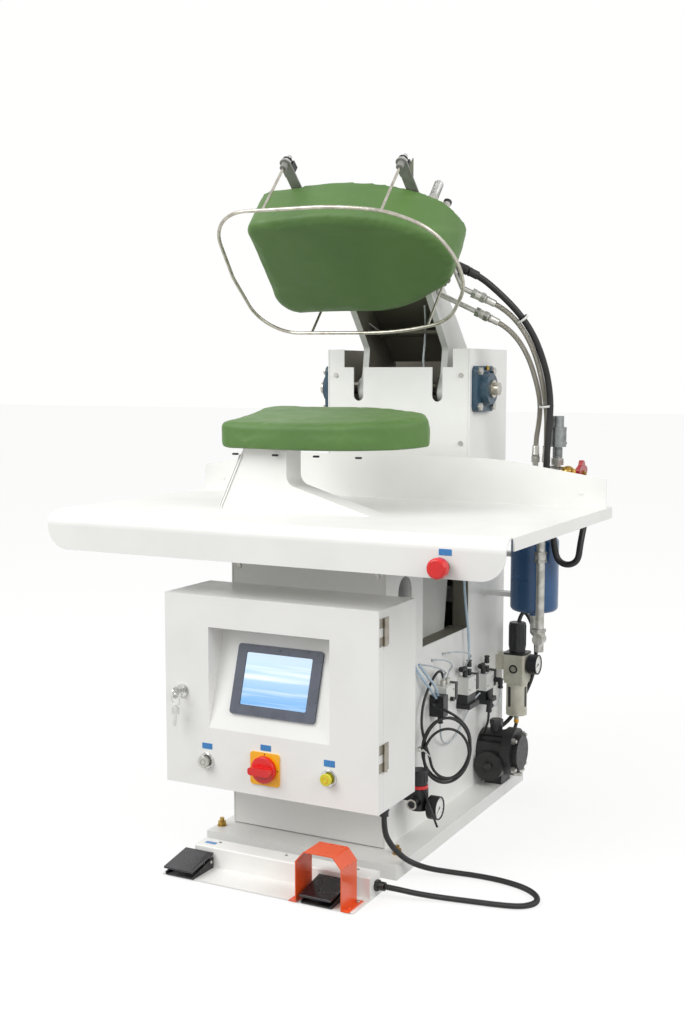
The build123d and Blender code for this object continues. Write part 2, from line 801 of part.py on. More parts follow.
def bearing_housings():
    """Two four-bolt square flanged bearing housings."""
    half = BEARING_SIDE / 2
    outer = COLUMN_HALF
    corners = [(SHAFT_Y + i * half, SHAFT_Z + j * half) for i, j in ((-1, -1), (1, -1), (1, 1), (-1, 1))]
    housing = side_shape(corners, outer, outer + BEARING_FLANGE, 15)
    boss = Plane(origin=(outer + BEARING_FLANGE, SHAFT_Y, SHAFT_Z), z_dir=(1, 0, 0)) * Circle(BEARING_BOSS_RADIUS)
    housing = housing + extrude(boss, BEARING_DEPTH - BEARING_FLANGE, taper=12)
    housing = housing - round_x(outer - 1, outer + BEARING_DEPTH + 1, SHAFT_Y, SHAFT_Z, BEARING_BORE)
    for y, z in bearing_bolt_spots():
        housing = housing - round_x(outer - 1, outer + BEARING_FLANGE + 1, y, z, BOLT_HOLE)
        housing = housing - round_x(
            outer + BEARING_FLANGE, outer + BEARING_DEPTH + 1, y, z, BOLT_HEAD_FLATS / sqrt(3) + 1
        )
    return [housing, mirror_x(housing)]


def main_shaft():
    """Arm shaft with the inner rings of both bearings on it."""
    shaft = round_x(-SHAFT_HALF, SHAFT_HALF, SHAFT_Y, SHAFT_Z, SHAFT_RADIUS)
    for side in (-1, 1):
        near = side * (COLUMN_HALF + 6)
        far = side * (COLUMN_HALF + BEARING_DEPTH + 5)
        ring = round_x(min(near, far), max(near, far), SHAFT_Y, SHAFT_Z, BEARING_BORE - RUNNING)
        shaft = shaft + ring
    return shaft


def arm_profile():
    """Closed-position outline of one arm plate, as (y, z) points with their radii."""
    tilt = radians(PRESS_TILT)
    lift = HEAD_THICK + MOUNT_PLATE

    def on_head(v, w):
        return (PRESS_Y + v * cos(tilt) - w * sin(tilt), PRESS_Z + v * sin(tilt) + w * cos(tilt))

    front_v = (ARM_FRONT - PRESS_Y) / cos(tilt)
    points = [
        on_head(front_v, lift),
        on_head(196, lift),
        on_head(206, 84),
        (SHAFT_Y - 83, SHAFT_Z + 50),
        (SHAFT_Y - ARM_HUB - 2, SHAFT_Z + 4),
        (SHAFT_Y - 22, SHAFT_Z - ARM_HUB - 8),
        (SHAFT_Y + 45, SHAFT_Z - ARM_HUB),
        (SHAFT_Y + 125, SHAFT_Z + 19),
        (SHAFT_Y + 123, SHAFT_Z + 94),
        (SHAFT_Y + 35, SHAFT_Z + ARM_TOP + 8),
        (SHAFT_Y - 99, SHAFT_Z + ARM_TOP),
        on_head(front_v, lift + 34),
    ]
    radii = (4, 6, 12, 20, 25, 25, 30, 22, 22, 30, 60, 12)
    return points, radii


def tail_pin_closed():
    """Centre of the tail pin in the closed position, as (y, z)."""
    angle = radians(TAIL_START + OPEN_ANGLE)
    return SHAFT_Y + TAIL_RADIUS * cos(angle), SHAFT_Z + TAIL_RADIUS * sin(angle)


def arm_frame():
    """Welded arm: two plates, hub tubes, web, mounting plate and tail cross bar with its pin."""
    points, radii = arm_profile()
    inner = ARM_CENTRE - ARM_PLATE / 2
    outer = ARM_CENTRE + ARM_PLATE / 2
    plate = side_shape(points, inner, outer, radii)
    hub = round_x(inner - 14, outer + 14, SHAFT_Y, SHAFT_Z, 26)
    arm = plate + hub
    arm = arm + mirror_x(arm)
    spots = ((SHAFT_Y - 235, ARM_TOP - 6), (SHAFT_Y - 99, ARM_TOP), (SHAFT_Y + 30, ARM_TOP + 8))
    web = [(y, SHAFT_Z + z - ARM_WEB) for y, z in spots]
    web += [(y, SHAFT_Z + z) for y, z in reversed(spots)]
    web = side_shape(web, -inner, inner)
    arm = arm + web
    foot, head = (SHAFT_Y - 135, SHAFT_Z + ARM_TOP - 80), (SHAFT_Y - 53, SHAFT_Z + ARM_TOP - 4)
    brace = side_shape((foot, (foot[0] + ARM_WEB, foot[1]), head, (head[0] - ARM_WEB, head[1])), -inner, inner)
    arm = arm + brace
    tilt_frame = press_frame(0)
    mount = Pos(0, 45, HEAD_THICK + MOUNT_PLATE / 2) * Box(2 * outer, 190, MOUNT_PLATE)
    arm = arm + tilt_frame * mount
    tail_y, tail_z = tail_pin_closed()
    pin = round_x(-inner, inner, tail_y, tail_z, TAIL_PIN)
    arm = arm + pin
    arm = arm - round_x(-SHAFT_HALF, SHAFT_HALF, SHAFT_Y, SHAFT_Z, SHAFT_RADIUS + FIT_GAP)
    return open_arm(arm)


def cylinder_line():
    """Barrel pivot, rest position of the rod eye, and the unit vector between them, in Y and Z."""
    angle = radians(TAIL_START)
    eye = Vector(0, SHAFT_Y + TAIL_RADIUS * cos(angle), SHAFT_Z + TAIL_RADIUS * sin(angle))
    pivot = Vector(0, PIVOT_Y, PIVOT_Z)
    way = (eye - pivot).normalized()
    return pivot, eye, way


def cylinder_frame(distance):
    """Frame whose Z runs up the cylinder, a given way above its lower pivot."""
    pivot, _, way = cylinder_line()
    return Plane(origin=pivot + way * distance, x_dir=(1, 0, 0), z_dir=way).location


def cylinder_barrel():
    """Cylinder tube with its end caps and the lower eye."""
    length = BARREL_TOP - BARREL_BOTTOM
    start = BARREL_BOTTOM - PIVOT_Z
    tube = Pos(0, 0, start + length / 2) * Cylinder(BARREL_RADIUS, length)
    for z in (start, start + length - 22):
        tube = tube + Pos(0, 0, z + 11) * Box(2 * BARREL_RADIUS + 8, 2 * BARREL_RADIUS + 8, 22)
    tube = tube - Pos(0, 0, start + length / 2) * Cylinder(BARREL_BORE, length - 24)
    tube = tube - Pos(0, 0, start + length - 6) * Cylinder(ROD_RADIUS + RUNNING, 26)
    eye = Pos(0, 0, start / 2) * Box(24, 26, start)
    eye = eye + Rot(0, 90, 0) * Cylinder(17, 24)
    barrel = tube + eye
    barrel = barrel - Rot(0, 90, 0) * Cylinder(PIVOT_RADIUS + RUNNING, 60)
    return cylinder_frame(0) * barrel


def cylinder_rod():
    """Piston, rod and the slotted eye that takes the tail pin."""
    pivot, eye, way = cylinder_line()
    reach = (eye - pivot).length
    start = BARREL_BOTTOM - PIVOT_Z + 16
    piston = Pos(0, 0, start + 9) * Cylinder(BARREL_BORE - 0.3, 18)
    rod = Pos(0, 0, (start + reach - 12) / 2) * Cylinder(ROD_RADIUS, reach - 12 - start)
    hole = TAIL_PIN + EYE_CLEAR
    head = Pos(0, 0, reach) * Box(28, 2 * (hole + EYE_SLACK) + 18, 2 * hole + 20)
    slot = Pos(0, 0, reach) * Box(30, 2 * EYE_SLACK, 2 * hole)
    for side in (-1, 1):
        slot = slot + Pos(0, side * EYE_SLACK, reach) * Rot(0, 90, 0) * Cylinder(hole, 30)
    return cylinder_frame(0) * (piston + rod + head - slot)


def cylinder_bracket():
    """Cross beam between the side plates with two cheeks and the lower pivot pin."""
    half = COLUMN_HALF - PLATE
    beam = block(-half, half, PIVOT_Y - 30, PIVOT_Y + 30, PIVOT_Z - 60, PIVOT_Z - 30)
    for side in (-1, 1):
        near, far = side * 13, side * 23
        cheek = block(min(near, far), max(near, far), PIVOT_Y - 18, PIVOT_Y + 18, PIVOT_Z - 31, PIVOT_Z)
        cheek = cheek + round_x(min(near, far), max(near, far), PIVOT_Y, PIVOT_Z, 18)
        beam = beam + cheek
    return beam + round_x(-26, 26, PIVOT_Y, PIVOT_Z, PIVOT_RADIUS)


def head_plate():
    """Cast heating plate of the head, with its rim and the seat of the mounting plate."""
    low = HEAD_FACE + SOFT_GAP
    body = pad_outline(low, HEAD_THICK, PAD_GROW - HEAD_WALL - SOFT_GAP)
    pocket = pad_outline(low + HEAD_PLATE, HEAD_THICK - 6, PAD_GROW - HEAD_WALL - 12)
    body = body - pocket
    for side in (-1, 1):
        body = body + Pos(side * ARM_CENTRE, 60, (low + HEAD_THICK) / 2) * Box(24, 180, HEAD_THICK - low)
    return open_head(body)


def upper_pad():
    """Closed pad and cover of the head, wrapped round the heating plate."""
    pad = pad_outline(0, HEAD_THICK, PAD_GROW)
    face_edges = pad.faces().sort_by(Axis.Z)[0].edges()
    pad = fillet(face_edges, 10)
    pad = pad - pad_outline(HEAD_FACE, HEAD_THICK + 1, PAD_GROW - HEAD_WALL)
    return open_head(pad)


def safety_ring():
    """Round steel ring in front of the head face, with four guide rods and their stop collars."""
    path = FilletPolyline(*RING_POINTS, radius=RING_RADII, close=True)
    ring = Pos(0, 0, RING_W) * sweep(Plane(origin=path @ 0, z_dir=path % 0) * Circle(RING_ROD), path)
    stop = BUSH_TOP + SOFT_GAP
    for u, v in STRUTS:
        ring = ring + Pos(u, v, (RING_W + STRUT_TOP) / 2) * Cylinder(STRUT_RADIUS, STRUT_TOP - RING_W)
        ring = ring + Pos(u, v, stop + COLLAR / 2) * Cylinder(STRUT_RADIUS + 3, COLLAR)
    return open_head(ring)


def ring_brackets():
    """Four sheet brackets on the back of the head, each with a guide bush for a rod."""
    top = HEAD_THICK + BRACKET_SHEET
    brackets = []
    for u, v in STRUTS:
        inner_v = v - 105 if v > 0 else v + 105
        plate = local_block(u - 13, u + 13, min(v, inner_v), max(v, inner_v), HEAD_THICK, top)
        plate = plate + Pos(u, v, (HEAD_THICK + top) / 2) * Cylinder(13, BRACKET_SHEET)
        plate = plate + Pos(u, v, (BUSH_BOTTOM + BUSH_TOP) / 2) * Cylinder(BUSH_RADIUS, BUSH_TOP - BUSH_BOTTOM)
        plate = plate - Pos(u, v, HEAD_THICK) * Cylinder(STRUT_RADIUS + SOFT_GAP, 4 * HEAD_WALL)
        brackets.append(open_head(plate))
    return brackets


def local_block(u0, u1, v0, v1, w0, w1):
    """A block between two corners, on the pressing plane's axes."""
    return Pos((u0 + u1) / 2, (v0 + v1) / 2, (w0 + w1) / 2) * Box(u1 - u0, v1 - v0, w1 - w0)


def limit_switches():
    """Two roller switches on the front brackets, each with its lever over the rod collar."""
    base = HEAD_THICK + BRACKET_SHEET
    switches = []
    for u, v in STRUTS[:2]:
        body = local_block(u - 14, u + 6, v + 14, v + 34, base, base + SWITCH_HEIGHT)
        lever = base + SWITCH_HEIGHT - 1
        body = body + local_block(u - 2, u + 2, v + 4, v + 16, lever - 3, lever)
        body = body + local_block(u - 10, u + 2, v + 20, v + 28, base + SWITCH_HEIGHT, base + SWITCH_HEIGHT + 5)
        switches.append(open_head(body))
    return switches


def head_fittings():
    """Threaded nipple, bleed plug and the two pipe unions on the back of the head."""
    base = HEAD_THICK
    nipple = Pos(NIPPLE_U, NIPPLE_V, base + 6) * extrude(RegularPolygon(13, 6), 6, both=True)
    nipple = nipple + Pos(NIPPLE_U, NIPPLE_V, base + NIPPLE_HIGH / 2) * Cylinder(9, NIPPLE_HIGH)
    plug = Pos(PLUG_U, PLUG_V, base + PLUG_HIGH / 2) * Cylinder(8, PLUG_HIGH)
    fittings = [nipple, plug]
    for points in HEAD_PIPES:
        foot = (points[0][0], points[0][1], base)
        pipe = pipe_run((foot,) + points, PIPE_THIN)
        start, end = Vector(*points[-2]), Vector(*points[-1])
        way = (end - start).normalized()
        union = Plane(origin=end - way * UNION_LENGTH, z_dir=way) * Circle(UNION_RADIUS)
        fittings.append(pipe + extrude(union, UNION_LENGTH))
    foot = (HEAD_HOSE_PIPE[0][0], HEAD_HOSE_PIPE[0][1], base)
    steam = pipe_run((foot,) + HEAD_HOSE_PIPE, 8)
    fittings.append(steam + bar_between(HEAD_HOSE_PIPE[-2], HEAD_HOSE_PIPE[-1], 11))
    return [open_head(fitting) for fitting in fittings]


def head_point(u, v, w):
    """World place of a point on the open head."""
    return open_head(Pos(u, v, w)).position


def leave_head(points, lead):
    """The first two points of a hose: the end of its union, and a point straight out of it."""
    before, end = head_point(*points[-2]), head_point(*points[-1])
    way = (end - before).normalized()
    return [tuple(end), tuple(end + way * lead)]


def head_hose():
    """Black steam hose from the gate valve to the head, in a low loop behind the table."""
    return bent_tube(leave_head(HEAD_HOSE_PIPE, 30) + list(HEAD_HOSE_ROUTE), HEAD_HOSE_RADIUS)


def braided_hose(pipe, route):
    """One braided hose from a head union to a nipple on the manifold."""
    nipple = STEAM_NIPPLES[pipe]
    ends = [(nipple, MANIFOLD_Y, NIPPLE_TOP + 38), (nipple, MANIFOLD_Y, NIPPLE_TOP)]
    return bent_tube(leave_head(HEAD_PIPES[pipe], 36) + list(route) + ends, STEAM_HOSE_RADIUS)


def control_box():
    """Sheet box with an open front and an inner lip for the door seal."""
    rear = COLUMN_FRONT
    front = BOX_FRONT + DOOR_DEPTH + DOOR_GAP
    sheet = BOX_SHEET
    box = block(BOX_LEFT, BOX_RIGHT, front, rear, BOX_BOTTOM, BOX_TOP)
    box = box - block(
        BOX_LEFT + sheet, BOX_RIGHT - sheet, front + sheet, rear - sheet, BOX_BOTTOM + sheet, BOX_TOP - sheet
    )
    lip = BOX_LIP
    box = box - block(BOX_LEFT + lip, BOX_RIGHT - lip, front - 1, rear - sheet, BOX_BOTTOM + lip, BOX_TOP - lip)
    gland_x, gland_y = GLAND_BOX
    return box - round_z(BOX_BOTTOM - 1, BOX_BOTTOM + sheet + 1, gland_x, gland_y, GLAND_THREAD)


def control_gear():
    """Mounting plate in the box with the controller, a relay row and the terminal strip."""
    rear = COLUMN_FRONT - BOX_SHEET
    plate = block(BOX_LEFT + 30, BOX_RIGHT - 30, rear - 3, rear, BOX_BOTTOM + 30, BOX_TOP - 30)
    face = rear - 3
    controller = block(-190, -60, face - 48, face, 430, 520)
    supply = block(-30, 60, face - 52, face, 420, 520)
    relays = [block(x, x + 17, face - 45, face, 310, 372) for x in range(-190, 60, 19)]
    terminals = [block(-190, 190, face - 34, face, 225, 265)]
    return [plate, controller, supply] + relays + terminals


def recess_profile(grow):
    """Outline of the slanted screen recess in the door, as (y, z)."""
    rise = RECESS_TOP - RECESS_LEDGE - RECESS_BOTTOM
    face = make_face(
        Plane.YZ
        * Polyline(
            (BOX_FRONT - 30, RECESS_BOTTOM - 30 * rise / RECESS_DEPTH),
            (BOX_FRONT + RECESS_DEPTH, RECESS_TOP - RECESS_LEDGE),
            (BOX_FRONT, RECESS_TOP),
            (BOX_FRONT - 30, RECESS_TOP),
            close=True,
        )
    )
    return offset(face, grow, kind=Kind.INTERSECTION) if grow else face


def box_door():
    """Folded door pan with the screen recess, its holes and two hinge leaves."""
    sheet = BOX_SHEET
    rear = BOX_FRONT + DOOR_DEPTH
    door = block(BOX_LEFT, BOX_RIGHT, BOX_FRONT, rear, BOX_BOTTOM, BOX_TOP)
    door = door - block(
        BOX_LEFT + sheet, BOX_RIGHT - sheet, BOX_FRONT + sheet, rear + 1, BOX_BOTTOM + sheet, BOX_TOP - sheet
    )
    width = RECESS_RIGHT - RECESS_LEFT
    housing = Pos(RECESS_LEFT - sheet, 0, 0) * extrude(recess_profile(sheet), width + 2 * sheet, dir=(1, 0, 0))
    housing = housing & block(-400, 400, BOX_FRONT, 0, 0, 900)
    pocket = Pos(RECESS_LEFT, 0, 0) * extrude(recess_profile(0), width, dir=(1, 0, 0))
    door = door + housing - pocket
    half_w, half_h = SCREEN_WIDTH / 2 - 8, SCREEN_HEIGHT / 2 - 8
    door = door - on_screen(local_block(-half_w, half_w, -half_h, half_h, -20, 20))
    for x, z in ((START_X, START_Z), (STOP_X, STOP_Z), (SWITCH_X, SWITCH_Z), (LOCK_X, LOCK_Z)):
        door = door - round_y(BOX_FRONT - 1, BOX_FRONT + sheet + 1, x, z, PANEL_HOLE)
    axis_x = BOX_RIGHT + HINGE_OUT
    for z in HINGE_Z:
        third = HINGE_HEIGHT / 3
        for low in (z, z + 2 * third):
            leaf = block(BOX_RIGHT, BOX_RIGHT + 2, rear - 18, rear, low, low + third)
            leaf = leaf + block(BOX_RIGHT, axis_x, rear - 2.4, rear - 0.4, low, low + third)
            leaf = leaf + round_z(low, low + third, axis_x, rear, HINGE_KNUCKLE)
            leaf = leaf - block(BOX_RIGHT - 10, BOX_RIGHT, rear - 20, rear + 9, low - 1, low + third + 1)
            door = door + leaf - round_z(low - 1, low + third + 1, axis_x, rear, HINGE_PIN + RUNNING)
    return door


def door_hinges():
    """Fixed leaves of the two door hinges with their pins."""
    rear = BOX_FRONT + DOOR_DEPTH
    front = rear + DOOR_GAP
    axis_x = BOX_RIGHT + HINGE_OUT
    third = HINGE_HEIGHT / 3
    hinges = []
    for z in HINGE_Z:
        low, high = z + third + SOFT_GAP, z + 2 * third - SOFT_GAP
        leaf = block(BOX_RIGHT, BOX_RIGHT + 2, front + 4, front + 20, z, z + HINGE_HEIGHT)
        leaf = leaf + block(BOX_RIGHT, BOX_RIGHT + 2, front, front + 6, low, high)
        leaf = leaf + block(BOX_RIGHT, axis_x, rear + DOOR_GAP, rear + DOOR_GAP + 2, low, high)
        leaf = leaf + round_z(low, high, axis_x, rear, HINGE_KNUCKLE)
        leaf = leaf + round_z(z, z + HINGE_HEIGHT, axis_x, rear, HINGE_PIN)
        hinges.append(leaf)
    return hinges


def on_screen(shape):
    """Places a shape on the slanted screen panel: Z out of the panel, Y up along it."""
    run = RECESS_DEPTH
    rise = RECESS_TOP - RECESS_LEDGE - RECESS_BOTTOM
    length = sqrt(run * run + rise * rise)
    up = Vector(0, run / length, rise / length)
    out = Vector(0, -rise / length, run / length)
    share = (SCREEN_Z - RECESS_BOTTOM) / rise
    centre = Vector(SCREEN_X, BOX_FRONT + run * share, SCREEN_Z)
    return Plane(origin=centre, x_dir=(1, 0, 0), z_dir=out).location * shape


def hmi_panel():
    """Touch screen with a raised bezel in front of the panel and its housing behind."""
    half_w, half_h = SCREEN_WIDTH / 2, SCREEN_HEIGHT / 2
    bezel = local_block(-half_w, half_w, -half_h, half_h, 0, SCREEN_BEZEL)
    bezel = fillet(bezel.edges().filter_by(Axis.Z), 7)
    bezel = bezel - local_block(-half_w + 22, half_w - 22, -half_h + 20, half_h - 16, SCREEN_BEZEL - 1.5, SCREEN_BEZEL + 1)
    body = local_block(-half_w + 8.5, half_w - 8.5, -half_h + 8.5, half_h - 8.5, -34, 0)
    return on_screen(bezel + body)


def panel_button(x, z, radius):
    """Round plunger of one push button."""
    plunger = round_y(BOX_FRONT - BUTTON_STAND, BOX_FRONT + 26, x, z, radius)
    return fillet(plunger.faces().sort_by(Axis.Y)[0].edges(), 2)


def door_bezels():
    """Collars of the two push buttons and the lock barrel, all fixed in the door."""
    bezels = []
    for x, z in ((START_X, START_Z), (STOP_X, STOP_Z)):
        ring = round_y(BOX_FRONT - 6, BOX_FRONT, x, z, BUTTON_BEZEL)
        ring = ring + round_y(BOX_FRONT, BOX_FRONT + 34, x, z, PANEL_HOLE - SOFT_GAP)
        ring = ring - round_y(BOX_FRONT - 7, BOX_FRONT + 31, x, z, BUTTON_RADIUS + SOFT_GAP)
        bezels.append(ring)
    lock = round_y(BOX_FRONT - 4, BOX_FRONT, LOCK_X, LOCK_Z, PANEL_HOLE + 3)
    lock = lock + round_y(BOX_FRONT, BOX_FRONT + 20, LOCK_X, LOCK_Z, PANEL_HOLE - SOFT_GAP)
    lock = lock - round_y(BOX_FRONT - 5, BOX_FRONT + 21, LOCK_X, LOCK_Z, LOCK_PLUG + RUNNING)
    return bezels + [lock]


def door_key():
    """Lock plug with its cam behind, the key in it and a spare key on a ring."""
    rear = BOX_FRONT + DOOR_DEPTH
    key = round_y(BOX_FRONT - 7, rear - 1.8, LOCK_X, LOCK_Z, LOCK_PLUG)
    cam = block(LOCK_X - 39, LOCK_X + 7, rear - 1.8, rear + DOOR_GAP - SOFT_GAP, LOCK_Z - 7, LOCK_Z + 7)
    blade = block(LOCK_X - 1, LOCK_X + 1, BOX_FRONT - 16, BOX_FRONT - 7, LOCK_Z - 4, LOCK_Z + 4)
    bow = round_x(LOCK_X - 1, LOCK_X + 1, BOX_FRONT - 27, LOCK_Z, 12)
    bow = bow - round_x(LOCK_X - 2, LOCK_X + 2, BOX_FRONT - 32, LOCK_Z, 4)
    return key + cam + blade + bow


def rotary_switch():
    """Square switch plate in front of the door, its neck and the switch body behind."""
    half = SWITCH_SIDE / 2
    rear = BOX_FRONT + BOX_SHEET
    plate = block(SWITCH_X - half, SWITCH_X + half, BOX_FRONT - 4, BOX_FRONT, SWITCH_Z - half, SWITCH_Z + half)
    plate = fillet(plate.edges().filter_by(Axis.Y), 6)
    plate = plate + round_y(BOX_FRONT, rear, SWITCH_X, SWITCH_Z, PANEL_HOLE - SOFT_GAP)
    plate = plate + block(SWITCH_X - 24, SWITCH_X + 24, rear, rear + 44, SWITCH_Z - 24, SWITCH_Z + 24)
    return plate - round_y(BOX_FRONT - 5, rear + 12, SWITCH_X, SWITCH_Z, 4 + RUNNING)


def switch_knob():
    """Round knob with a grip bar across it and its spindle."""
    front = BOX_FRONT - 4 - SOFT_GAP
    knob = round_y(front - 10, front, SWITCH_X, SWITCH_Z, SWITCH_KNOB)
    knob = fillet(knob.faces().sort_by(Axis.Y)[0].edges(), 3)
    grip = block(SWITCH_X - 8, SWITCH_X + 8, front - 26, front - 9, SWITCH_Z - 25, SWITCH_Z + 25)
    grip = fillet(grip.edges().filter_by(Axis.Y), 6)
    grip = Pos(SWITCH_X, 0, SWITCH_Z) * Rot(0, 90, 0) * Pos(-SWITCH_X, 0, -SWITCH_Z) * grip
    return knob + grip + round_y(front, BOX_FRONT + BOX_SHEET + 10, SWITCH_X, SWITCH_Z, 4)


def cable_glands():
    """Two glands of the foot cable: under the box and on the end of the foot unit."""
    x, y = GLAND_BOX
    low = BOX_BOTTOM - GLAND_LENGTH
    upper = round_z(low, BOX_BOTTOM - 8, x, y, GLAND_RADIUS - 1)
    upper = upper + hex_z(BOX_BOTTOM - 8, BOX_BOTTOM, x, y, 2 * GLAND_RADIUS)
    upper = upper + round_z(BOX_BOTTOM, BOX_BOTTOM + BOX_SHEET + 5, x, y, GLAND_THREAD - SOFT_GAP)
    y, z = GLAND_FOOT
    lower = round_x(COVER_RIGHT + 8, COVER_RIGHT + GLAND_LENGTH, y, z, GLAND_RADIUS - 1)
    lower = lower + hex_x(COVER_RIGHT, COVER_RIGHT + 8, y, z, 2 * GLAND_RADIUS)
    lower = lower + round_x(COVER_RIGHT - COVER_SHEET - 5, COVER_RIGHT, y, z, GLAND_THREAD - SOFT_GAP)
    return [upper, lower]


def conduit():
    """Ribbed cable conduit from the control box to the foot unit, lying on the floor."""
    x, y = GLAND_BOX
    start = (x, y, BOX_BOTTOM - GLAND_LENGTH)
    end = (COVER_RIGHT + GLAND_LENGTH, GLAND_FOOT[0], GLAND_FOOT[1])
    return bent_tube([start] + list(CONDUIT_ROUTE) + [end], CONDUIT_RADIUS)


def estop_collar():
    """Fixed collar, barrel and contact block of the emergency stop."""
    collar = round_y(TABLE_FRONT - 9, TABLE_FRONT, ESTOP_X, ESTOP_Z, 15)
    rear = TABLE_FRONT + TABLE_SHEET
    collar = collar + round_y(TABLE_FRONT, rear, ESTOP_X, ESTOP_Z, ESTOP_HOLE - SOFT_GAP)
    collar = collar + block(ESTOP_X - 20, ESTOP_X + 20, rear, rear + 36, ESTOP_Z - 16, ESTOP_Z + 16)
    return collar - round_y(TABLE_FRONT - 10, rear + 20, ESTOP_X, ESTOP_Z, ESTOP_SHAFT + SOFT_GAP)


def estop_button():
    """Mushroom button and its plunger."""
    near = TABLE_FRONT - 9 - ESTOP_TRAVEL - 0.6
    button = round_y(near - 18, near, ESTOP_X, ESTOP_Z, ESTOP_RADIUS)
    button = fillet(button.faces().sort_by(Axis.Y)[0].edges(), 6)
    return button + round_y(near, TABLE_FRONT + TABLE_SHEET + 14, ESTOP_X, ESTOP_Z, ESTOP_SHAFT)


def foot_plate():
    """Floor plate of the foot unit."""
    corners = ((FOOT_LEFT, FOOT_FRONT), (FOOT_RIGHT, FOOT_FRONT), (FOOT_RIGHT, FOOT_REAR), (FOOT_LEFT, FOOT_REAR))
    return plan_shape(corners, 0, FOOT_PLATE, 4)


def foot_box():
    """Folded cover of the foot unit's wiring."""
    box = block(COVER_LEFT, COVER_RIGHT, COVER_FRONT, COVER_REAR, FOOT_PLATE, COVER_TOP)
    box = fillet(box.edges().filter_by(Axis.X).sort_by(Axis.Z)[-2:], 3)
    sheet = COVER_SHEET
    box = box - block(
        COVER_LEFT + sheet, COVER_RIGHT - sheet, COVER_FRONT + sheet, COVER_REAR - sheet,
        FOOT_PLATE - 1, COVER_TOP - sheet,
    )
    y, z = GLAND_FOOT
    return box - round_x(COVER_RIGHT - sheet - 1, COVER_RIGHT + 1, y, z, GLAND_THREAD)


def pedal_base(x):
    """Lower shell of one pedal with side walls, pin lugs and the pin."""
    half = PEDAL_HALF
    floor = FOOT_PLATE
    front = PEDAL_FRONT + 5
    base = block(x - half, x + half, front, PEDAL_REAR, floor, floor + 3)
    wall = ((front, floor), (PEDAL_REAR, floor), (PEDAL_REAR, 25.5), (front, 9))
    for low in (x - half, x + half - 3):
        base = base + side_shape(wall, low, low + 3)
    for low in (x - 26, x + 22):
        lug = block(low, low + 4, PEDAL_PIVOT_Y - 5, PEDAL_PIVOT_Y + 5, floor, PEDAL_PIVOT_Z)
        base = base + lug + round_x(low, low + 4, PEDAL_PIVOT_Y, PEDAL_PIVOT_Z, 3.6)
    return base + round_x(x - 26, x + 26, PEDAL_PIVOT_Y, PEDAL_PIVOT_Z, PEDAL_PIN)


def treadle(x):
    """One foot treadle, turning on the pin of its base."""
    half = PEDAL_HALF
    top = ((PEDAL_FRONT, 17), (PEDAL_FRONT, 22), (PEDAL_REAR, 36), (PEDAL_REAR, 31.5))
    shape = side_shape(top, x - half, x + half, 1.2)
    boss = block(x - 21, x + 21, PEDAL_PIVOT_Y - 5, PEDAL_PIVOT_Y + 5, PEDAL_PIVOT_Z - 5, PEDAL_PIVOT_Z + 9)
    shape = shape + boss
    return shape - round_x(x - 30, x + 30, PEDAL_PIVOT_Y, PEDAL_PIVOT_Z, PEDAL_PIN + RUNNING)


def pedal_guard():
    """Bent sheet guard over the right pedal, with two feet on the floor plate."""
    low = FOOT_PLATE
    sheet = GUARD_SHEET
    cut = GUARD_CHAMFER
    outline = (
        (GUARD_LEFT, low),
        (GUARD_LEFT, GUARD_SHOULDER),
        (GUARD_LEFT + cut, GUARD_TOP),
        (GUARD_RIGHT - cut, GUARD_TOP),
        (GUARD_RIGHT, GUARD_SHOULDER),
        (GUARD_RIGHT, low),
    )
    face = make_face(Plane.XZ * FilletPolyline(*outline, radius=(0, 6, 6, 6, 6, 0), close=True))
    inside = offset(face, -sheet, kind=Kind.INTERSECTION)
    arch = Pos(0, GUARD_FRONT, 0) * extrude(face, GUARD_REAR - GUARD_FRONT, dir=(0, 1, 0))
    hollow = Pos(0, GUARD_FRONT - 1, 0) * extrude(inside, GUARD_REAR - GUARD_FRONT + 2, dir=(0, 1, 0))
    arch = arch - hollow
    arch = arch - block(
        GUARD_LEFT + sheet, GUARD_RIGHT - sheet, GUARD_FRONT - 1, GUARD_REAR + 1, low - 1, low + sheet + 1
    )
    for x0, x1 in ((GUARD_LEFT - GUARD_FOOT, GUARD_LEFT + sheet), (GUARD_RIGHT - sheet, GUARD_RIGHT + GUARD_FOOT)):
        foot = block(x0, x1, GUARD_FRONT, GUARD_REAR, low, low + sheet)
        arch = arch + foot
    for x in (GUARD_LEFT - GUARD_FOOT / 2, GUARD_RIGHT + GUARD_FOOT / 2):
        arch = arch - round_z(low - 1, low + sheet + 1, x, GUARD_FRONT + 17, 2.5)
        arch = arch - round_z(low - 1, low + sheet + 1, x, GUARD_REAR - 10, 2.5)
    return arch


def gauge_solid(x, y, z):
    """Pressure gauge facing +X, on a short stem that starts at the given point."""
    gauge = round_x(x, x + 6, y, z, 6)
    gauge = gauge + round_x(x + 6, x + 6 + GAUGE_DEPTH, y, z, GAUGE_RADIUS)
    return gauge - round_x(x + 4 + GAUGE_DEPTH, x + 8 + GAUGE_DEPTH, y, z, GAUGE_RADIUS - 2.5)


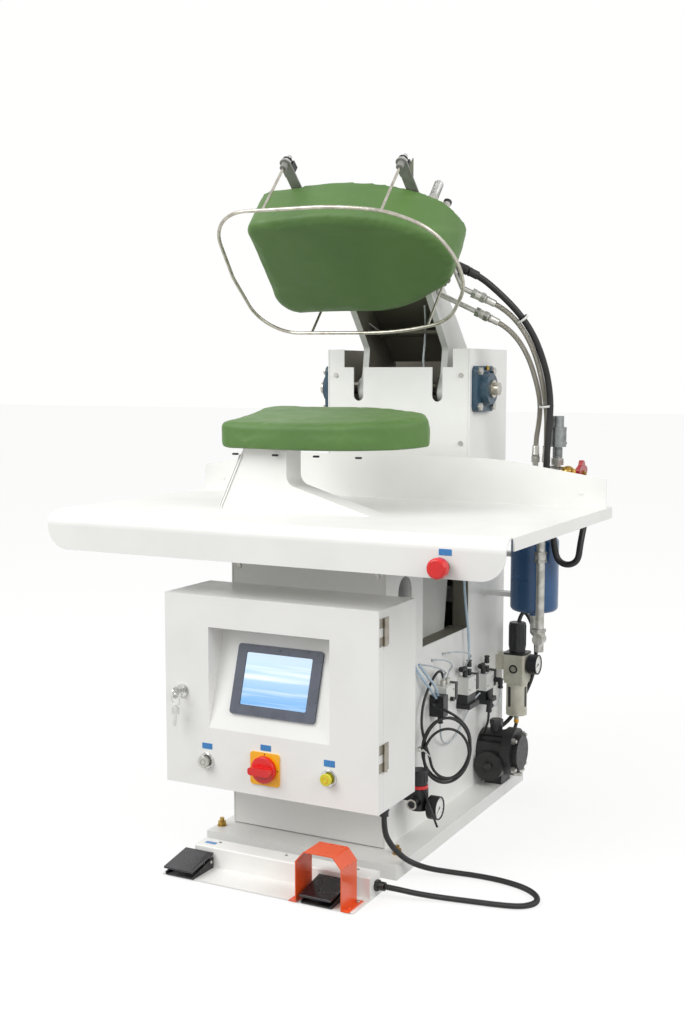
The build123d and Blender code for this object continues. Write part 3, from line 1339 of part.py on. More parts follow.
def filter_regulator():
    """Filter regulator body, bowl and bracket, and its pressure gauge."""
    x, y = FILTER_X, FILTER_Y
    low, high = FILTER_BODY
    half = FILTER_HALF
    outer = COLUMN_HALF
    body = block(x - half, x + half, y - half, y + half, low, high)
    body = fillet(body.edges().filter_by(Axis.Z), 6)
    body = body + round_z(high, FILTER_KNOB[0] - SOFT_GAP, x, y, 20)
    body = body + round_z(BOWL_BOTTOM, low, x, y, BOWL_RADIUS)
    body = body + round_z(BOWL_BOTTOM - 12, BOWL_BOTTOM, x, y, 6)
    body = body - round_y(y + half - AIR_INLET_DEPTH, y + half + 1, x, (low + high) / 2 - 4, AIR_INLET_BORE)
    body = body - round_z(FILTER_KNOB[0] - 12, FILTER_KNOB[0] + 1, x, y, 6 + RUNNING)
    bracket = block(outer, x - half, y - 24, y + 24, high - 40, high - 4)
    gauge = gauge_solid(x + half, y, (low + high) / 2 + 9)
    return [body + bracket, gauge]


def filter_knob():
    """Pressure knob of the filter regulator."""
    knob = round_z(FILTER_KNOB[0], FILTER_KNOB[1], FILTER_X, FILTER_Y, FILTER_KNOB_RADIUS)
    knob = fillet(knob.faces().sort_by(Axis.Z)[-1].edges(), 4)
    return knob + round_z(FILTER_KNOB[0] - 10, FILTER_KNOB[0], FILTER_X, FILTER_Y, 6)


def line_regulator():
    """Small in-line regulator with a bracket, a red ring and its gauge."""
    x, y = LINE_X, LINE_Y
    low, high = LINE_BODY
    body = round_z(low, high, x, y, LINE_RADIUS)
    body = body + round_z(high, high + 8, x, y, LINE_RADIUS - 3)
    body = body + round_y(y - 38, y, x, low + 20, 12)
    body = body + block(COLUMN_HALF, x, y - 12, y + 12, low + 18, low + 34)
    body = body - round_z(high - 6, high + 9, x, y, 6 + RUNNING)
    gauge = gauge_solid(x + LINE_RADIUS, y, low + 8)
    seat = round_x(x, x + LINE_RADIUS, y, low + 8, 9)
    return [body + seat, gauge]


def regulator_knob():
    """Knob of the in-line regulator."""
    low = LINE_BODY[1] + 8 + SOFT_GAP
    knob = round_z(low, LINE_KNOB_TOP, LINE_X, LINE_Y, LINE_RADIUS - 2)
    return knob + round_z(low - 10, low, LINE_X, LINE_Y, 6)


def solenoid_valves():
    """Three solenoid valves on the side plate: each a body, a coil and a push-in fitting."""
    outer = COLUMN_HALF
    valves = []
    for y, z, turned in VALVES:
        body = block(outer, outer + VALVE_WIDE, y - 25, y + 25, z - 20, z + 20)
        for step in (-12, 12):
            body = body + round_z(z + 20, z + 34, outer + 16, y + step, 6)
        valves.append(body)
        if turned:
            valves.append(block(outer, outer + VALVE_WIDE + 4, y - 51, y - 25, z - 42, z + 6))
            continue
        valves.append(block(outer, outer + VALVE_WIDE - 2, y - 25, y + 25, z - 44, z - 20))
    return valves


def tube_coil():
    """Coil of air tube as one closed ring, with its lead to the first valve."""
    frame = Plane(origin=(COIL_X, COIL_Y, COIL_Z), x_dir=(1, 1, 0), z_dir=(1, -1, 0))
    a, b = COIL_HALF_WIDE, COIL_HALF_HIGH
    corners = ((-a, -b), (a, -b), (a, b), (-a, b))
    path = frame * FilletPolyline(*corners, radius=(a - 1, a - 1, a - 1, a - 1), close=True)
    ring = sweep(Plane(origin=path @ 0, z_dir=path % 0) * Circle(COIL_ROD), path)
    y, z, _ = VALVES[0]
    x = COLUMN_HALF + 16
    return ring + pipe_run(((COIL_X, COIL_Y, COIL_Z + b), (x, y - 80, z - 8), (x, y - 51 - SOFT_GAP, z - 8)), 5)


def steam_trap():
    """Cast float trap: drum, bolted flange pair, front cap, foot and the four flange bolts."""
    x, y, z = TRAP_X, TRAP_Y, TRAP_Z
    body = round_x(COLUMN_HALF, x + TRAP_LENGTH, y, z, TRAP_RADIUS)
    body = body + round_x(x + TRAP_LENGTH, x + TRAP_LENGTH + 12, y, z, TRAP_RADIUS + 8)
    body = body + round_y(y - TRAP_RADIUS - 16, y, x + 30, z - 26, 36)
    body = body + block(x + 8, x + 52, y - 30, y + 30, TRAY_HEIGHT, z)
    body = body + round_z(z, z + TRAP_RADIUS + 14, x + 26, y, 15)
    cover = round_x(x + TRAP_LENGTH + 12, x + TRAP_LENGTH + 24, y, z, TRAP_RADIUS + 8)
    cover = cover + round_x(x + TRAP_LENGTH + 24, x + TRAP_LENGTH + 38, y, z, TRAP_RADIUS - 8)
    pieces = []
    reach = TRAP_RADIUS
    for angle in (45, 135, 225, 315):
        by = y + reach * cos(radians(angle))
        bz = z + reach * sin(radians(angle))
        hole = round_x(x + TRAP_LENGTH - 30, x + TRAP_LENGTH + 25, by, bz, 4 + SOFT_GAP)
        hole = hole + round_x(x + TRAP_LENGTH - 60, x + TRAP_LENGTH, by, bz, 10)
        body = body - hole
        cover = cover - hole
        bolt = round_x(x + TRAP_LENGTH, x + TRAP_LENGTH + 24, by, bz, 4)
        bolt = bolt + hex_x(x + TRAP_LENGTH + 24, x + TRAP_LENGTH + 30, by, bz, 14)
        pieces.append(bolt)
    return [body, cover] + pieces


def condensate_tank():
    """Upright tank with two welded arms to the column side and its pipe sockets."""
    x, y = TANK_X, TANK_Y
    tank = round_z(TANK_BOTTOM, TANK_TOP, x, y, TANK_RADIUS)
    tank = fillet(tank.edges().filter_by(GeomType.CIRCLE), 12)
    for z in (TANK_BOTTOM + 35, TANK_TOP - 45):
        tank = tank + block(COLUMN_HALF, x, y - 15, y + 15, z - 5, z + 5)
    tank = tank + round_z(TANK_TOP - 2, TANK_TOP + 14, x, y, PIPE_RADIUS + 4)
    return tank + round_z(TANK_BOTTOM - 12, TANK_BOTTOM + 2, x, y, PIPE_RADIUS + 2)


def steam_pipework():
    """Manifold behind the table with its nipples, the tank lines and the drain drop."""
    z = MANIFOLD_Z
    y = MANIFOLD_Y
    end = GATE_X - GATE_RADIUS
    manifold = round_x(COLUMN_HALF, end, y, z, MANIFOLD_RADIUS)
    manifold = manifold + round_x(COLUMN_HALF, COLUMN_HALF + 8, y, z, MANIFOLD_RADIUS + 10)
    for x in STEAM_NIPPLES:
        manifold = manifold + round_z(z, NIPPLE_TOP - 12, x, y, 7)
        manifold = manifold + hex_z(NIPPLE_TOP - 14, NIPPLE_TOP, x, y, 18)
    manifold = manifold + pipe_run(((ANGLE_X, y, z), (ANGLE_X, y, z + 18)), PIPE_RADIUS - 2)
    manifold = manifold + round_x(ANGLE_X - 16, ANGLE_X + 8, y, z, MANIFOLD_RADIUS + 4)
    manifold = manifold + pipe_run(((TANK_X, y, z), (TANK_X, TANK_Y, TANK_TOP + 14)), PIPE_RADIUS - 2)
    high = z - 50
    turns = ((DROP_FEED_X, y, z), (DROP_FEED_X, DROP_Y, high), (DROP_X, DROP_Y, high), (DROP_X, DROP_Y, DROP_BOTTOM))
    drop = pipe_run(turns, PIPE_RADIUS)
    for low in (DROP_BOTTOM + 12, DROP_BOTTOM + 194):
        drop = drop + round_z(low, low + 18, DROP_X, DROP_Y, PIPE_RADIUS + 3)
    drop = drop + round_y(DROP_Y - 16, DROP_Y + 13, DROP_X, DROP_BOTTOM + 8, PIPE_RADIUS + 3)
    foot = (TANK_X, TANK_Y, TANK_BOTTOM - 12)
    drain = pipe_run((foot, (TANK_X, TANK_Y, DROP_BOTTOM + 8), (DROP_X, DROP_Y + 6, DROP_BOTTOM + 8)), PIPE_RADIUS - 1)
    outlet = bar_between((DROP_X, DROP_Y, DROP_BOTTOM + 8), (DROP_X, DROP_Y, DROP_BOTTOM - 22), PIPE_RADIUS)
    outlet = outlet - bar_between((DROP_X, DROP_Y, DROP_BOTTOM - 6), (DROP_X, DROP_Y, DROP_BOTTOM - 23), OUTLET_BORE)
    inlet = round_y(y, INLET_Y, INLET_X, z, INLET_BORE + 4)
    inlet = inlet - round_y(INLET_Y - INLET_LENGTH, INLET_Y + 1, INLET_X, z, INLET_BORE)
    return manifold + drop + drain + outlet + inlet


def steam_valves():
    """Air vent valve on the manifold, and the brass gate valve with the hose elbow under it."""
    x, y = ANGLE_X, MANIFOLD_Y
    low = MANIFOLD_Z + 18
    vent = round_z(low, ANGLE_TOP - 71, x, y, 11)
    vent = vent + hex_z(low, low + 16, x, y, 26)
    vent = vent + round_z(ANGLE_TOP - 72, ANGLE_TOP - 26, x, y, 20)
    vent = vent + round_z(ANGLE_TOP - 26, ANGLE_TOP, x, y, 14)
    z = MANIFOLD_Z
    gate = round_x(GATE_X - GATE_RADIUS, GATE_X + 8, y, z, 14)
    gate = gate + Pos(GATE_X, y, z) * Sphere(GATE_RADIUS)
    gate = gate & block(GATE_X - GATE_RADIUS, GATE_X + 30, y - 40, y + 40, z - 40, z + 40)
    gate = gate + hex_x(GATE_X + 8, WHEEL_X - 6, y, z, 20)
    gate = gate + round_x(WHEEL_X - 7, WHEEL_X + 12, y, z, 4)
    hose_end = HEAD_HOSE_ROUTE[-1]
    low = z - ELBOW_DROP
    elbow = pipe_run(((GATE_X, y, z), (GATE_X, y, low), (hose_end[0], y, low), hose_end), PIPE_RADIUS - 2)
    elbow = elbow + bar_between((hose_end[0], hose_end[1], hose_end[2] + 18), hose_end, 11)
    return [vent, gate + elbow]


def valve_handwheel():
    """Lobed handwheel on the gate valve's stem."""
    y, z = MANIFOLD_Y, MANIFOLD_Z
    low = WHEEL_X - 4
    rim = round_x(low, low + 10, y, z, WHEEL_RADIUS - 4)
    lobes = 5
    for turn in range(lobes):
        angle = radians(360 / lobes * turn + 90)
        reach = WHEEL_RADIUS - 8
        rim = rim + round_x(low, low + 10, y + reach * cos(angle), z + reach * sin(angle), 9)
        notch = radians(360 / lobes * (turn + 0.5) + 90)
        rim = rim - round_x(low - 1, low + 11, y + WHEEL_RADIUS * cos(notch), z + WHEEL_RADIUS * sin(notch), 7)
    return rim - round_x(low - 1, low + 11, y, z, 4 + RUNNING)


def build():
    """Every part of the press, by name."""
    return {
        "floor_tray": floor_tray(),
        "hex_bolts": hex_bolts(),
        "side_plate_left": side_plate_left(),
        "side_plate_right": side_plate_right(),
        "front_panel": front_panel(),
        "tower_front_panel": tower_front_panel(),
        "rear_panel": rear_panel(),
        "vacuum_duct": vacuum_duct(),
        "panel_screws": panel_screws(),
        "work_table": work_table(),
        "buck_pedestal": buck_pedestal(),
        "lower_buck_plate": buck_core(0),
        "lower_pad": lower_pad(),
        "bearing_housings": bearing_housings(),
        "main_shaft": main_shaft(),
        "arm_frame": arm_frame(),
        "cylinder_barrel": cylinder_barrel(),
        "cylinder_rod": cylinder_rod(),
        "cylinder_bracket": cylinder_bracket(),
        "head_plate": head_plate(),
        "upper_pad": upper_pad(),
        "safety_ring": safety_ring(),
        "ring_brackets": ring_brackets(),
        "limit_switches": limit_switches(),
        "head_fittings": head_fittings(),
        "head_hose": head_hose(),
        "braided_hose_right": braided_hose(0, BRAIDED_ROUTE_RIGHT),
        "braided_hose_left": braided_hose(1, BRAIDED_ROUTE_LEFT),
        "control_box": control_box(),
        "control_gear": control_gear(),
        "box_door": box_door(),
        "door_hinges": door_hinges(),
        "hmi_panel": hmi_panel(),
        "door_bezels": door_bezels(),
        "start_button": panel_button(START_X, START_Z, BUTTON_RADIUS),
        "stop_button": panel_button(STOP_X, STOP_Z, BUTTON_RADIUS),
        "door_key": door_key(),
        "rotary_switch": rotary_switch(),
        "switch_knob": switch_knob(),
        "cable_glands": cable_glands(),
        "conduit": conduit(),
        "estop_collar": estop_collar(),
        "estop_button": estop_button(),
        "foot_plate": foot_plate(),
        "foot_box": foot_box(),
        "pedal_bases": [pedal_base(x) for x in PEDALS],
        "treadle_left": treadle(PEDALS[0]),
        "treadle_right": treadle(PEDALS[1]),
        "pedal_guard": pedal_guard(),
        "filter_regulator": filter_regulator(),
        "filter_knob": filter_knob(),
        "line_regulator": line_regulator(),
        "regulator_knob": regulator_knob(),
        "solenoid_valves": solenoid_valves(),
        "tube_coil": tube_coil(),
        "steam_trap": steam_trap(),
        "condensate_tank": condensate_tank(),
        "steam_pipework": steam_pipework(),
        "steam_valves": steam_valves(),
        "valve_handwheel": valve_handwheel(),
    }


if __name__ == "__main__":
    os.makedirs("parts", exist_ok=True)
    for name, shape in build().items():
        if isinstance(shape, list):
            shape = Compound(children=shape)
        export_step(shape, f"parts/{name}.step")
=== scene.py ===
import math

import bmesh
import bpy
import numpy as np
from mathutils import Matrix, Vector
from mathutils.bvhtree import BVHTree


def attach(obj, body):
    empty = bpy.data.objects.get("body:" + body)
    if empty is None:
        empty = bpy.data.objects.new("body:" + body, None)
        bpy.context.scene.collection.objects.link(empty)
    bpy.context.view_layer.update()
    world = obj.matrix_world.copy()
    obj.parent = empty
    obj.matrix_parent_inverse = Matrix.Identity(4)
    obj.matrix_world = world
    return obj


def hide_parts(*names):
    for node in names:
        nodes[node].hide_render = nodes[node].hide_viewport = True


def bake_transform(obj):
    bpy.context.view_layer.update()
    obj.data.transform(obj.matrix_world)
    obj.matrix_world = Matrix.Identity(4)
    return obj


# Waistband press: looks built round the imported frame. Metres; helper inputs are millimetres.
MM = 0.001

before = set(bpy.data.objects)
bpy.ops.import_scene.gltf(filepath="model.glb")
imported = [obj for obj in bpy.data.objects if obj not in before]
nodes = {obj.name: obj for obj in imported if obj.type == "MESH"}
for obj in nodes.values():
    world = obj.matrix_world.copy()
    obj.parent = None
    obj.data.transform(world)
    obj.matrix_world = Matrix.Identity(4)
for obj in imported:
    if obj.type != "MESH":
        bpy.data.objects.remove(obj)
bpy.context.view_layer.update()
scene = bpy.context.scene
scene.view_settings.view_transform = "Standard"

SHAFT = (195, 991)
OPEN_ANGLE = 49
PRESS_TILT = 7
PRESS_PLACE = (-250, 935)
COLUMN_SIDE = 187.4
BEARING_FLANGE = 14
BOX_FRONT, TABLE_FRONT, PEDESTAL_FRONT = -490, -524, -300
SCREEN_X, SCREEN_Z = 9, 398
RECESS_BOTTOM, RECESS_RUN, RECESS_RISE = 294, 60, 196.5
LOCK_X, KEY_Y = -202, -517
SWITCH = (-1, 225)
FILTER = (236, 343)
BOWL_RADIUS = 26
REGULATOR = (232, -244)
TRAP_Y, TRAP_Z, TRAP_BOLTS = 240, 108, 50
VENT = (366, 240)
DROP_PIPE = (356, 160)
VALVES = ((-40, 306), (91, 300), (206, 285))
RODS = ((-120, -167.1), (152, -145.4), (-155, 207.8), (146, 191.9))
UNIONS = {"right": ((184, 214, 100), (232, 247, 96)), "left": ((124, 226, 96), (236, 285, 74))}
HOSE_PIPE = ((178, 170, 126), (200, 185, 124.5))
FOCAL_PIXELS, PICTURE_HEIGHT, SENSOR = 1315.7, 1024, 36
WHITE = (1, 1, 0.995, 1)
UP, DOWN, FRONT, RIGHT = (0, 0, 1), (0, 0, -1), (0, -1, 0), (1, 0, 0)


# Places

def point(x, y, z):
    """A point given in millimetres."""
    return Vector((x * MM, y * MM, z * MM))


def on_buck(u, v, w):
    """World place of a point on the closed pressing plane, in millimetres."""
    tilt = math.radians(PRESS_TILT)
    y = PRESS_PLACE[0] + v * math.cos(tilt) - w * math.sin(tilt)
    z = PRESS_PLACE[1] + v * math.sin(tilt) + w * math.cos(tilt)
    return (u, y, z)


def closed_arm(x, y, z):
    """World place, on the open arm, of a point given for the closed arm, in millimetres."""
    y, z = y - SHAFT[0], z - SHAFT[1]
    turn = math.radians(-OPEN_ANGLE)
    return (
        x,
        SHAFT[0] + y * math.cos(turn) - z * math.sin(turn),
        SHAFT[1] + y * math.sin(turn) + z * math.cos(turn),
    )


def on_head(u, v, w):
    """World place of a point on the open head, in millimetres."""
    return closed_arm(*on_buck(u, v, w))


def head_axis(u, v, w):
    """Direction on the open head's own axes."""
    return Vector(on_head(u, v, w)) - Vector(on_head(0, 0, 0))


def on_screen(u, v, w):
    """World place of a point on the slanted operator screen, in millimetres."""
    length = math.hypot(RECESS_RUN, RECESS_RISE)
    run, rise = RECESS_RUN / length, RECESS_RISE / length
    y = BOX_FRONT + RECESS_RUN * (SCREEN_Z - RECESS_BOTTOM) / RECESS_RISE + v * run - w * rise
    return (SCREEN_X + u, y, SCREEN_Z + v * rise + w * run)


# Materials

def srgb(text):
    """Linear colour of a hex colour."""
    values = [int(text[i:i + 2], 16) / 255 for i in (0, 2, 4)]
    line = [v / 12.92 if v <= 0.04045 else ((v + 0.055) / 1.055) ** 2.4 for v in values]
    return (*line, 1.0)


def add_node(tree, kind, links=(), **values):
    """Adds a shader node; a socket takes a value or another node's output."""
    node = tree.nodes.new("ShaderNode" + kind)
    for key, value in values.items():
        setattr(node, key, value)
    for socket, source in dict(links).items():
        if hasattr(source, "links"):
            tree.links.new(source, node.inputs[socket])
        else:
            node.inputs[socket].default_value = source
    return node


class Look:
    """One procedural material and the nodes in it."""

    def __init__(self, name, color, roughness, metallic=0.0, **sockets):
        self.mat = bpy.data.materials.new(name)
        self.mat.use_nodes = True
        self.tree = self.mat.node_tree
        self.shader = self.tree.nodes["Principled BSDF"]
        self.shader.inputs["Base Color"].default_value = srgb(color)
        self.shader.inputs["Roughness"].default_value = roughness
        self.shader.inputs["Metallic"].default_value = metallic
        for socket, value in sockets.items():
            self.shader.inputs[socket.replace("_", " ")].default_value = value
        self.color = color
        self.roughness = roughness
        self.height = None
        self.coords = self.add("TexCoord").outputs["Object"]

    def add(self, kind, links=(), **values):
        return add_node(self.tree, kind, links, **values)

    def stretched(self, x, y, z):
        """Object coordinates scaled by a different amount on each axis."""
        return self.add("Mapping", {0: self.coords, "Scale": (x, y, z)}).outputs[0]

    def noise(self, scale, detail=3.0, vector=None, rough=0.5):
        links = {"Vector": vector or self.coords, "Scale": scale, "Detail": detail, "Roughness": rough}
        return self.add("TexNoise", links).outputs["Fac"]

    def math(self, operation, a, b=0.0):
        return self.add("Math", {0: a, 1: b}, operation=operation).outputs[0]

    def span(self, source, low, high, to_low=0.0, to_high=1.0):
        links = {"Value": source, "From Min": low, "From Max": high, "To Min": to_low, "To Max": to_high}
        return self.add("MapRange", links).outputs[0]

    def mottle(self, other, source):
        """Mixes a second colour into what the base colour already is."""
        base = self.shader.inputs["Base Color"]
        mix = self.add("Mix", data_type="RGBA")
        if base.links:
            self.tree.links.new(base.links[0].from_socket, mix.inputs[6])
        else:
            mix.inputs[6].default_value = srgb(self.color)
        mix.inputs[7].default_value = srgb(other)
        self.tree.links.new(source, mix.inputs[0])
        self.tree.links.new(mix.outputs[2], base)

    def vary_gloss(self, source, spread):
        low, high = self.roughness - spread, self.roughness + spread
        self.tree.links.new(self.span(source, 0.3, 0.7, low, high), self.shader.inputs["Roughness"])

    def bump(self, source, strength, depth):
        """Adds a bump over those that are already there."""
        links = {"Strength": strength, "Distance": depth, "Height": source}
        if self.height:
            links["Normal"] = self.height
        self.height = self.add("Bump", links).outputs[0]
        self.tree.links.new(self.height, self.shader.inputs["Normal"])


def paint(name, color, other, roughness, peel=0.12, **sockets):
    """Powder coat or enamel: faint orange peel, uneven gloss and a little grime."""
    look = Look(name, color, roughness, **sockets)
    look.mottle(other, look.span(look.noise(7, 5), 0.42, 0.75))
    look.vary_gloss(look.noise(23, 4), 0.06)
    look.bump(look.noise(700, 2), peel, 0.0006)
    look.bump(look.noise(9, 2), 0.05, 0.004)
    return look


def metal(name, color, other, roughness, bite=0.12):
    """Bare or plated metal with drawn lines and uneven gloss."""
    look = Look(name, color, roughness, 1.0)
    drawn = look.noise(1.0, 3, look.stretched(40, 40, 900))
    look.mottle(other, look.span(look.noise(60, 4), 0.45, 0.72))
    look.vary_gloss(drawn, roughness * 0.35)
    look.bump(drawn, bite, 0.0004)
    return look


def moulded(name, color, other, roughness, **sockets):
    """Moulded plastic or rubber with a fine texture."""
    look = Look(name, color, roughness, **sockets)
    look.mottle(other, look.span(look.noise(30, 4), 0.45, 0.8))
    look.vary_gloss(look.noise(80, 3), 0.07)
    look.bump(look.noise(900, 2), 0.15, 0.0005)
    return look


def cast(name, color, other, roughness, metallic=0.0, bite=0.5, **sockets):
    """Rough casting, painted or bare."""
    look = Look(name, color, roughness, metallic, **sockets)
    look.mottle(other, look.span(look.noise(45, 5), 0.4, 0.75))
    look.vary_gloss(look.noise(120, 3), 0.08)
    look.bump(look.noise(320, 3), bite, 0.0012)
    return look


def pad_cloth(name, color, deep, pale):
    """Coated cover cloth: fine plain weave, soft sheen and faint pulls in the cloth."""
    look = Look(name, color, 0.5, Sheen_Weight=0.15, Sheen_Roughness=0.45, Sheen_Tint=srgb("cfe6b4"))
    look.mottle(deep, look.span(look.noise(5, 4), 0.42, 0.7))
    look.mottle(pale, look.span(look.noise(1.0, 4, look.stretched(4, 4, 34)), 0.62, 0.9, 0, 0.35))
    threads = []
    for axis in ("X", "Y", "Z"):
        wave = look.add(
            "TexWave", {"Vector": look.coords, "Scale": 320.0, "Distortion": 0.6}, bands_direction=axis,
        )
        threads.append(wave.outputs["Fac"])
    weave = look.math("MULTIPLY", look.math("ADD", threads[0], threads[2]), threads[1])
    look.bump(weave, 0.22, 0.0005)
    look.bump(look.noise(38, 3), 0.10, 0.003)
    look.vary_gloss(look.noise(25, 4), 0.07)
    return look


def braid(name):
    """Woven wire cover of a steam hose: two families of strands that cross."""
    look = Look(name, "a9a59a", 0.34, 1.0)
    uv = look.add("TexCoord").outputs["UV"]
    length, round_share, _ = look.add("SeparateXYZ", {0: uv}).outputs
    families = []
    for side in (-1, 1):
        turn = look.math("MULTIPLY", round_share, side * 8.0)
        step = look.math("ADD", look.math("MULTIPLY", length, 1 / 0.0062), turn)
        families.append(look.math("SINE", look.math("MULTIPLY", step, 2 * math.pi)))
    strands = look.math("MAXIMUM", *families)
    look.mottle("5c584f", look.span(strands, 0.55, -0.25))
    look.mottle("c9c6bd", look.span(look.noise(90, 3), 0.55, 0.8, 0, 0.5))
    look.bump(strands, 0.8, 0.0009)
    return look


def glowing(name, color, other, tilt):
    """Blank display: a soft blue field, lighter towards the middle, with faint bands."""
    look = Look(name, color, 0.16, Coat_Weight=0.6, Coat_Roughness=0.05)
    split = look.add("SeparateXYZ", {0: look.coords})
    look.mottle(other, look.span(split.outputs[2], tilt[0], tilt[1]))
    cloud = look.noise(1.0, 4, look.stretched(2, 2, 60))
    look.mottle("f4f9fd", look.span(cloud, 0.48, 0.7, 0, 0.75))
    look.bump(look.noise(300, 1), 0.02, 0.0002)
    base = look.shader.inputs["Base Color"].links[0].from_socket
    look.tree.links.new(base, look.shader.inputs["Emission Color"])
    look.shader.inputs["Emission Strength"].default_value = 0.35
    return look


LOOKS = {
    "cream": paint("pale_powder_coat", "f1f1ee", "ebebe7", 0.36),
    # Dark grey for the inward faces of the tower, rear panel and arm: painted shade.
    "inside": paint("inside_shade", "6f6c60", "5d5a50", 0.6),
    "bracket": cast("bracket_steel", "9a9a96", "85857f", 0.5, 0.4, 0.3),
    "hinge": metal("hinge_steel", "a39d92", "8b867c", 0.4),
    "treadle": moulded("treadle_black", "141218", "1e1b22", 0.24, Coat_Weight=0.3),
    "arm": paint("arm_enamel", "dfe0dc", "d2d3ce", 0.4),
    "duct": paint("duct_sheet", "c4c5c0", "b2b3ae", 0.45),
    "casting": cast("head_casting", "a4a49f", "7f7f79", 0.5, 0.7),
    "blue": cast("blue_enamel", "2c4c5e", "243f50", 0.4, 0.0, 0.55, Coat_Weight=0.15),
    "olive": paint("olive_bracket", "6f7156", "5f614a", 0.5, 0.2),
    "clamp": cast("dark_clamp", "2f3130", "45473f", 0.38, 0.4, 0.4),
    "tank": paint("tank_enamel", "1f5485", "194771", 0.3, 0.2, Coat_Weight=0.3),
    "orange": paint("orange_enamel", "e9571f", "dd4c18", 0.3, 0.1, Coat_Weight=0.3),
    "red_wheel": paint("red_enamel", "a8121d", "8d0f18", 0.34, 0.2, Coat_Weight=0.3),
    "ring": metal("polished_rod", "c2beb2", "a39e92", 0.3),
    "zinc": metal("zinc_plate", "c1c0ba", "9c9b94", 0.42),
    "barrel": metal("drawn_aluminium", "b9bab8", "9a9b99", 0.34),
    "chrome": metal("chrome_plate", "cfcfcd", "b4b4b1", 0.12, bite=0.04),
    "brass": metal("valve_brass", "b8964e", "8f7236", 0.3, bite=0.2),
    "vent": metal("vent_body", "8e9291", "74787a", 0.42, bite=0.3),
    "iron": cast("black_casting", "1b1b1c", "2b2b2b", 0.42, 0.0, 0.7),
    "rubber": moulded("hose_rubber", "121213", "1d1d1e", 0.42),
    "black": moulded("black_plastic", "17181a", "232427", 0.42),
    "white": moulded("white_plastic", "e3e4e0", "d2d3ce", 0.4),
    "beige": cast("regulator_body", "cfcdbd", "b9b6a5", 0.42, 0.15, 0.2),
    "yellow": moulded("yellow_plastic", "f6b300", "eba500", 0.3, Coat_Weight=0.2),
    "lemon": moulded("yellow_button", "d9d02a", "c9bd1d", 0.3, Coat_Weight=0.3),
    "red": moulded("red_plastic", "dc1414", "c80f10", 0.28, Coat_Weight=0.3),
    "bezel": moulded("screen_bezel", "565b68", "4b505c", 0.33, Coat_Weight=0.15),
    "label": moulded("blue_label", "2f7fc1", "2a74b3", 0.25, Coat_Weight=0.3),
    "dial": moulded("dial_face", "f3f3ef", "e9e9e4", 0.35),
    "tick": moulded("dial_marks", "1c1c1c", "262626", 0.5),
    "screen": glowing("blank_screen", "5e9ed6", "cfe4f3", (0.345, 0.455)),
    "tie": moulded("cable_tie", "e8e8e4", "d6d6d1", 0.45),
    "clear_tube": moulded("thin_tube", "dfe6ea", "cfd8de", 0.22, Transmission_Weight=0.35),
    "blue_tube": moulded("pale_tube", "c6dcec", "b4cfe3", 0.22, Transmission_Weight=0.2),
    "cloth": pad_cloth("pad_cover", "557a3a", "4b6f33", "789a5f"),
    "gland": metal("gland_nickel", "a7a7a2", "85857f", 0.3),
    "braid": braid("braided_cover"),
}


def assign(node, key):
    """Gives a CAD node one of the finishes."""
    nodes[node].data.materials.clear()
    nodes[node].data.materials.append(LOOKS[key].mat)


def assign_parts(node, keys, chooser):
    """Gives the faces of a CAD node finishes picked by the place of each face, in millimetres."""
    mesh = nodes[node].data
    mesh.materials.clear()
    for key in keys:
        mesh.materials.append(LOOKS[key].mat)
    for face in mesh.polygons:
        spot = face.center / MM
        face.material_index = keys.index(chooser(spot))


for finish, names in {
    "cream": (
        "floor_tray front_panel tower_front_panel work_table buck_pedestal "
        "cylinder_bracket control_box foot_plate foot_box"
    ),
    "duct": "vacuum_duct",
    "zinc": "panel_screws start_button",
    "casting": "lower_buck_plate head_plate",
    "blue": "bearing_housings",
    "ring": "main_shaft cylinder_rod safety_ring",
    "barrel": "cylinder_barrel",
    "bracket": "ring_brackets",
    "white": "control_gear",
    "hinge": "door_hinges",
    "bezel": "hmi_panel",
    "chrome": "door_bezels door_key",
    "lemon": "stop_button",
    "yellow": "rotary_switch",
    "red": "switch_knob estop_button",
    "black": (
        "cable_glands estop_collar pedal_bases filter_knob regulator_knob "
        "limit_switches line_regulator"
    ),
    "treadle": "treadle_left treadle_right",
    "orange": "pedal_guard",
    "red_wheel": "valve_handwheel",
}.items():
    for each in names.split():
        assign(each, finish)

# Inward faces of the side plates, rear panel and arm take the dark grey inside look: painted shade.
for each in ("side_plate_left", "side_plate_right"):
    assign_parts(each, ["cream", "inside"], lambda p: "inside" if abs(p.x) < 184.5 else "cream")
assign_parts("rear_panel", ["cream", "inside"], lambda p: "inside" if p.y < 369 else "cream")
assign_parts("arm_frame", ["arm", "inside"], lambda p: "inside" if abs(p.x) < 97 else "arm")
assign_parts("condensate_tank", ["tank", "cream"], lambda p: "cream" if p.x < 256 else "tank")
assign_parts("box_door", ["cream", "hinge"], lambda p: "hinge" if p.x > 255.2 else "cream")
HOSE_UNION = Vector(on_head(189, 178, 125))
assign_parts(
    "head_fittings", ["zinc", "rubber"], lambda p: "rubber" if (p - HOSE_UNION).length < 24 else "zinc",
)
assign_parts("hex_bolts", ["zinc", "brass"], lambda p: "brass" if p.z < 100 else "zinc")
assign_parts("steam_pipework", ["zinc", "gland"], lambda p: "zinc" if p.z > 640 or p.x > 335 else "gland")


def valve_part(p):
    if p.x > 378 and p.z < 815:
        return "brass" if p.z > 771 else "zinc"
    return "zinc" if p.z < 830 else "vent"


def filter_part(p):
    gauge = p.x > 268 and abs(p.y - FILTER[1]) < 26 and p.z > 275
    if p.z > 330 or gauge:
        return "black"
    return "zinc" if p.z < 163 else "beige"


def trap_part(p):
    outside = math.hypot(p.y - TRAP_Y, p.z - TRAP_Z) > 43
    return "zinc" if p.x > 276.5 and outside else "iron"


assign_parts("steam_valves", ["vent", "brass", "zinc"], valve_part)
assign_parts("filter_regulator", ["beige", "black", "zinc"], filter_part)
assign_parts("steam_trap", ["iron", "zinc"], trap_part)


# Mesh pieces


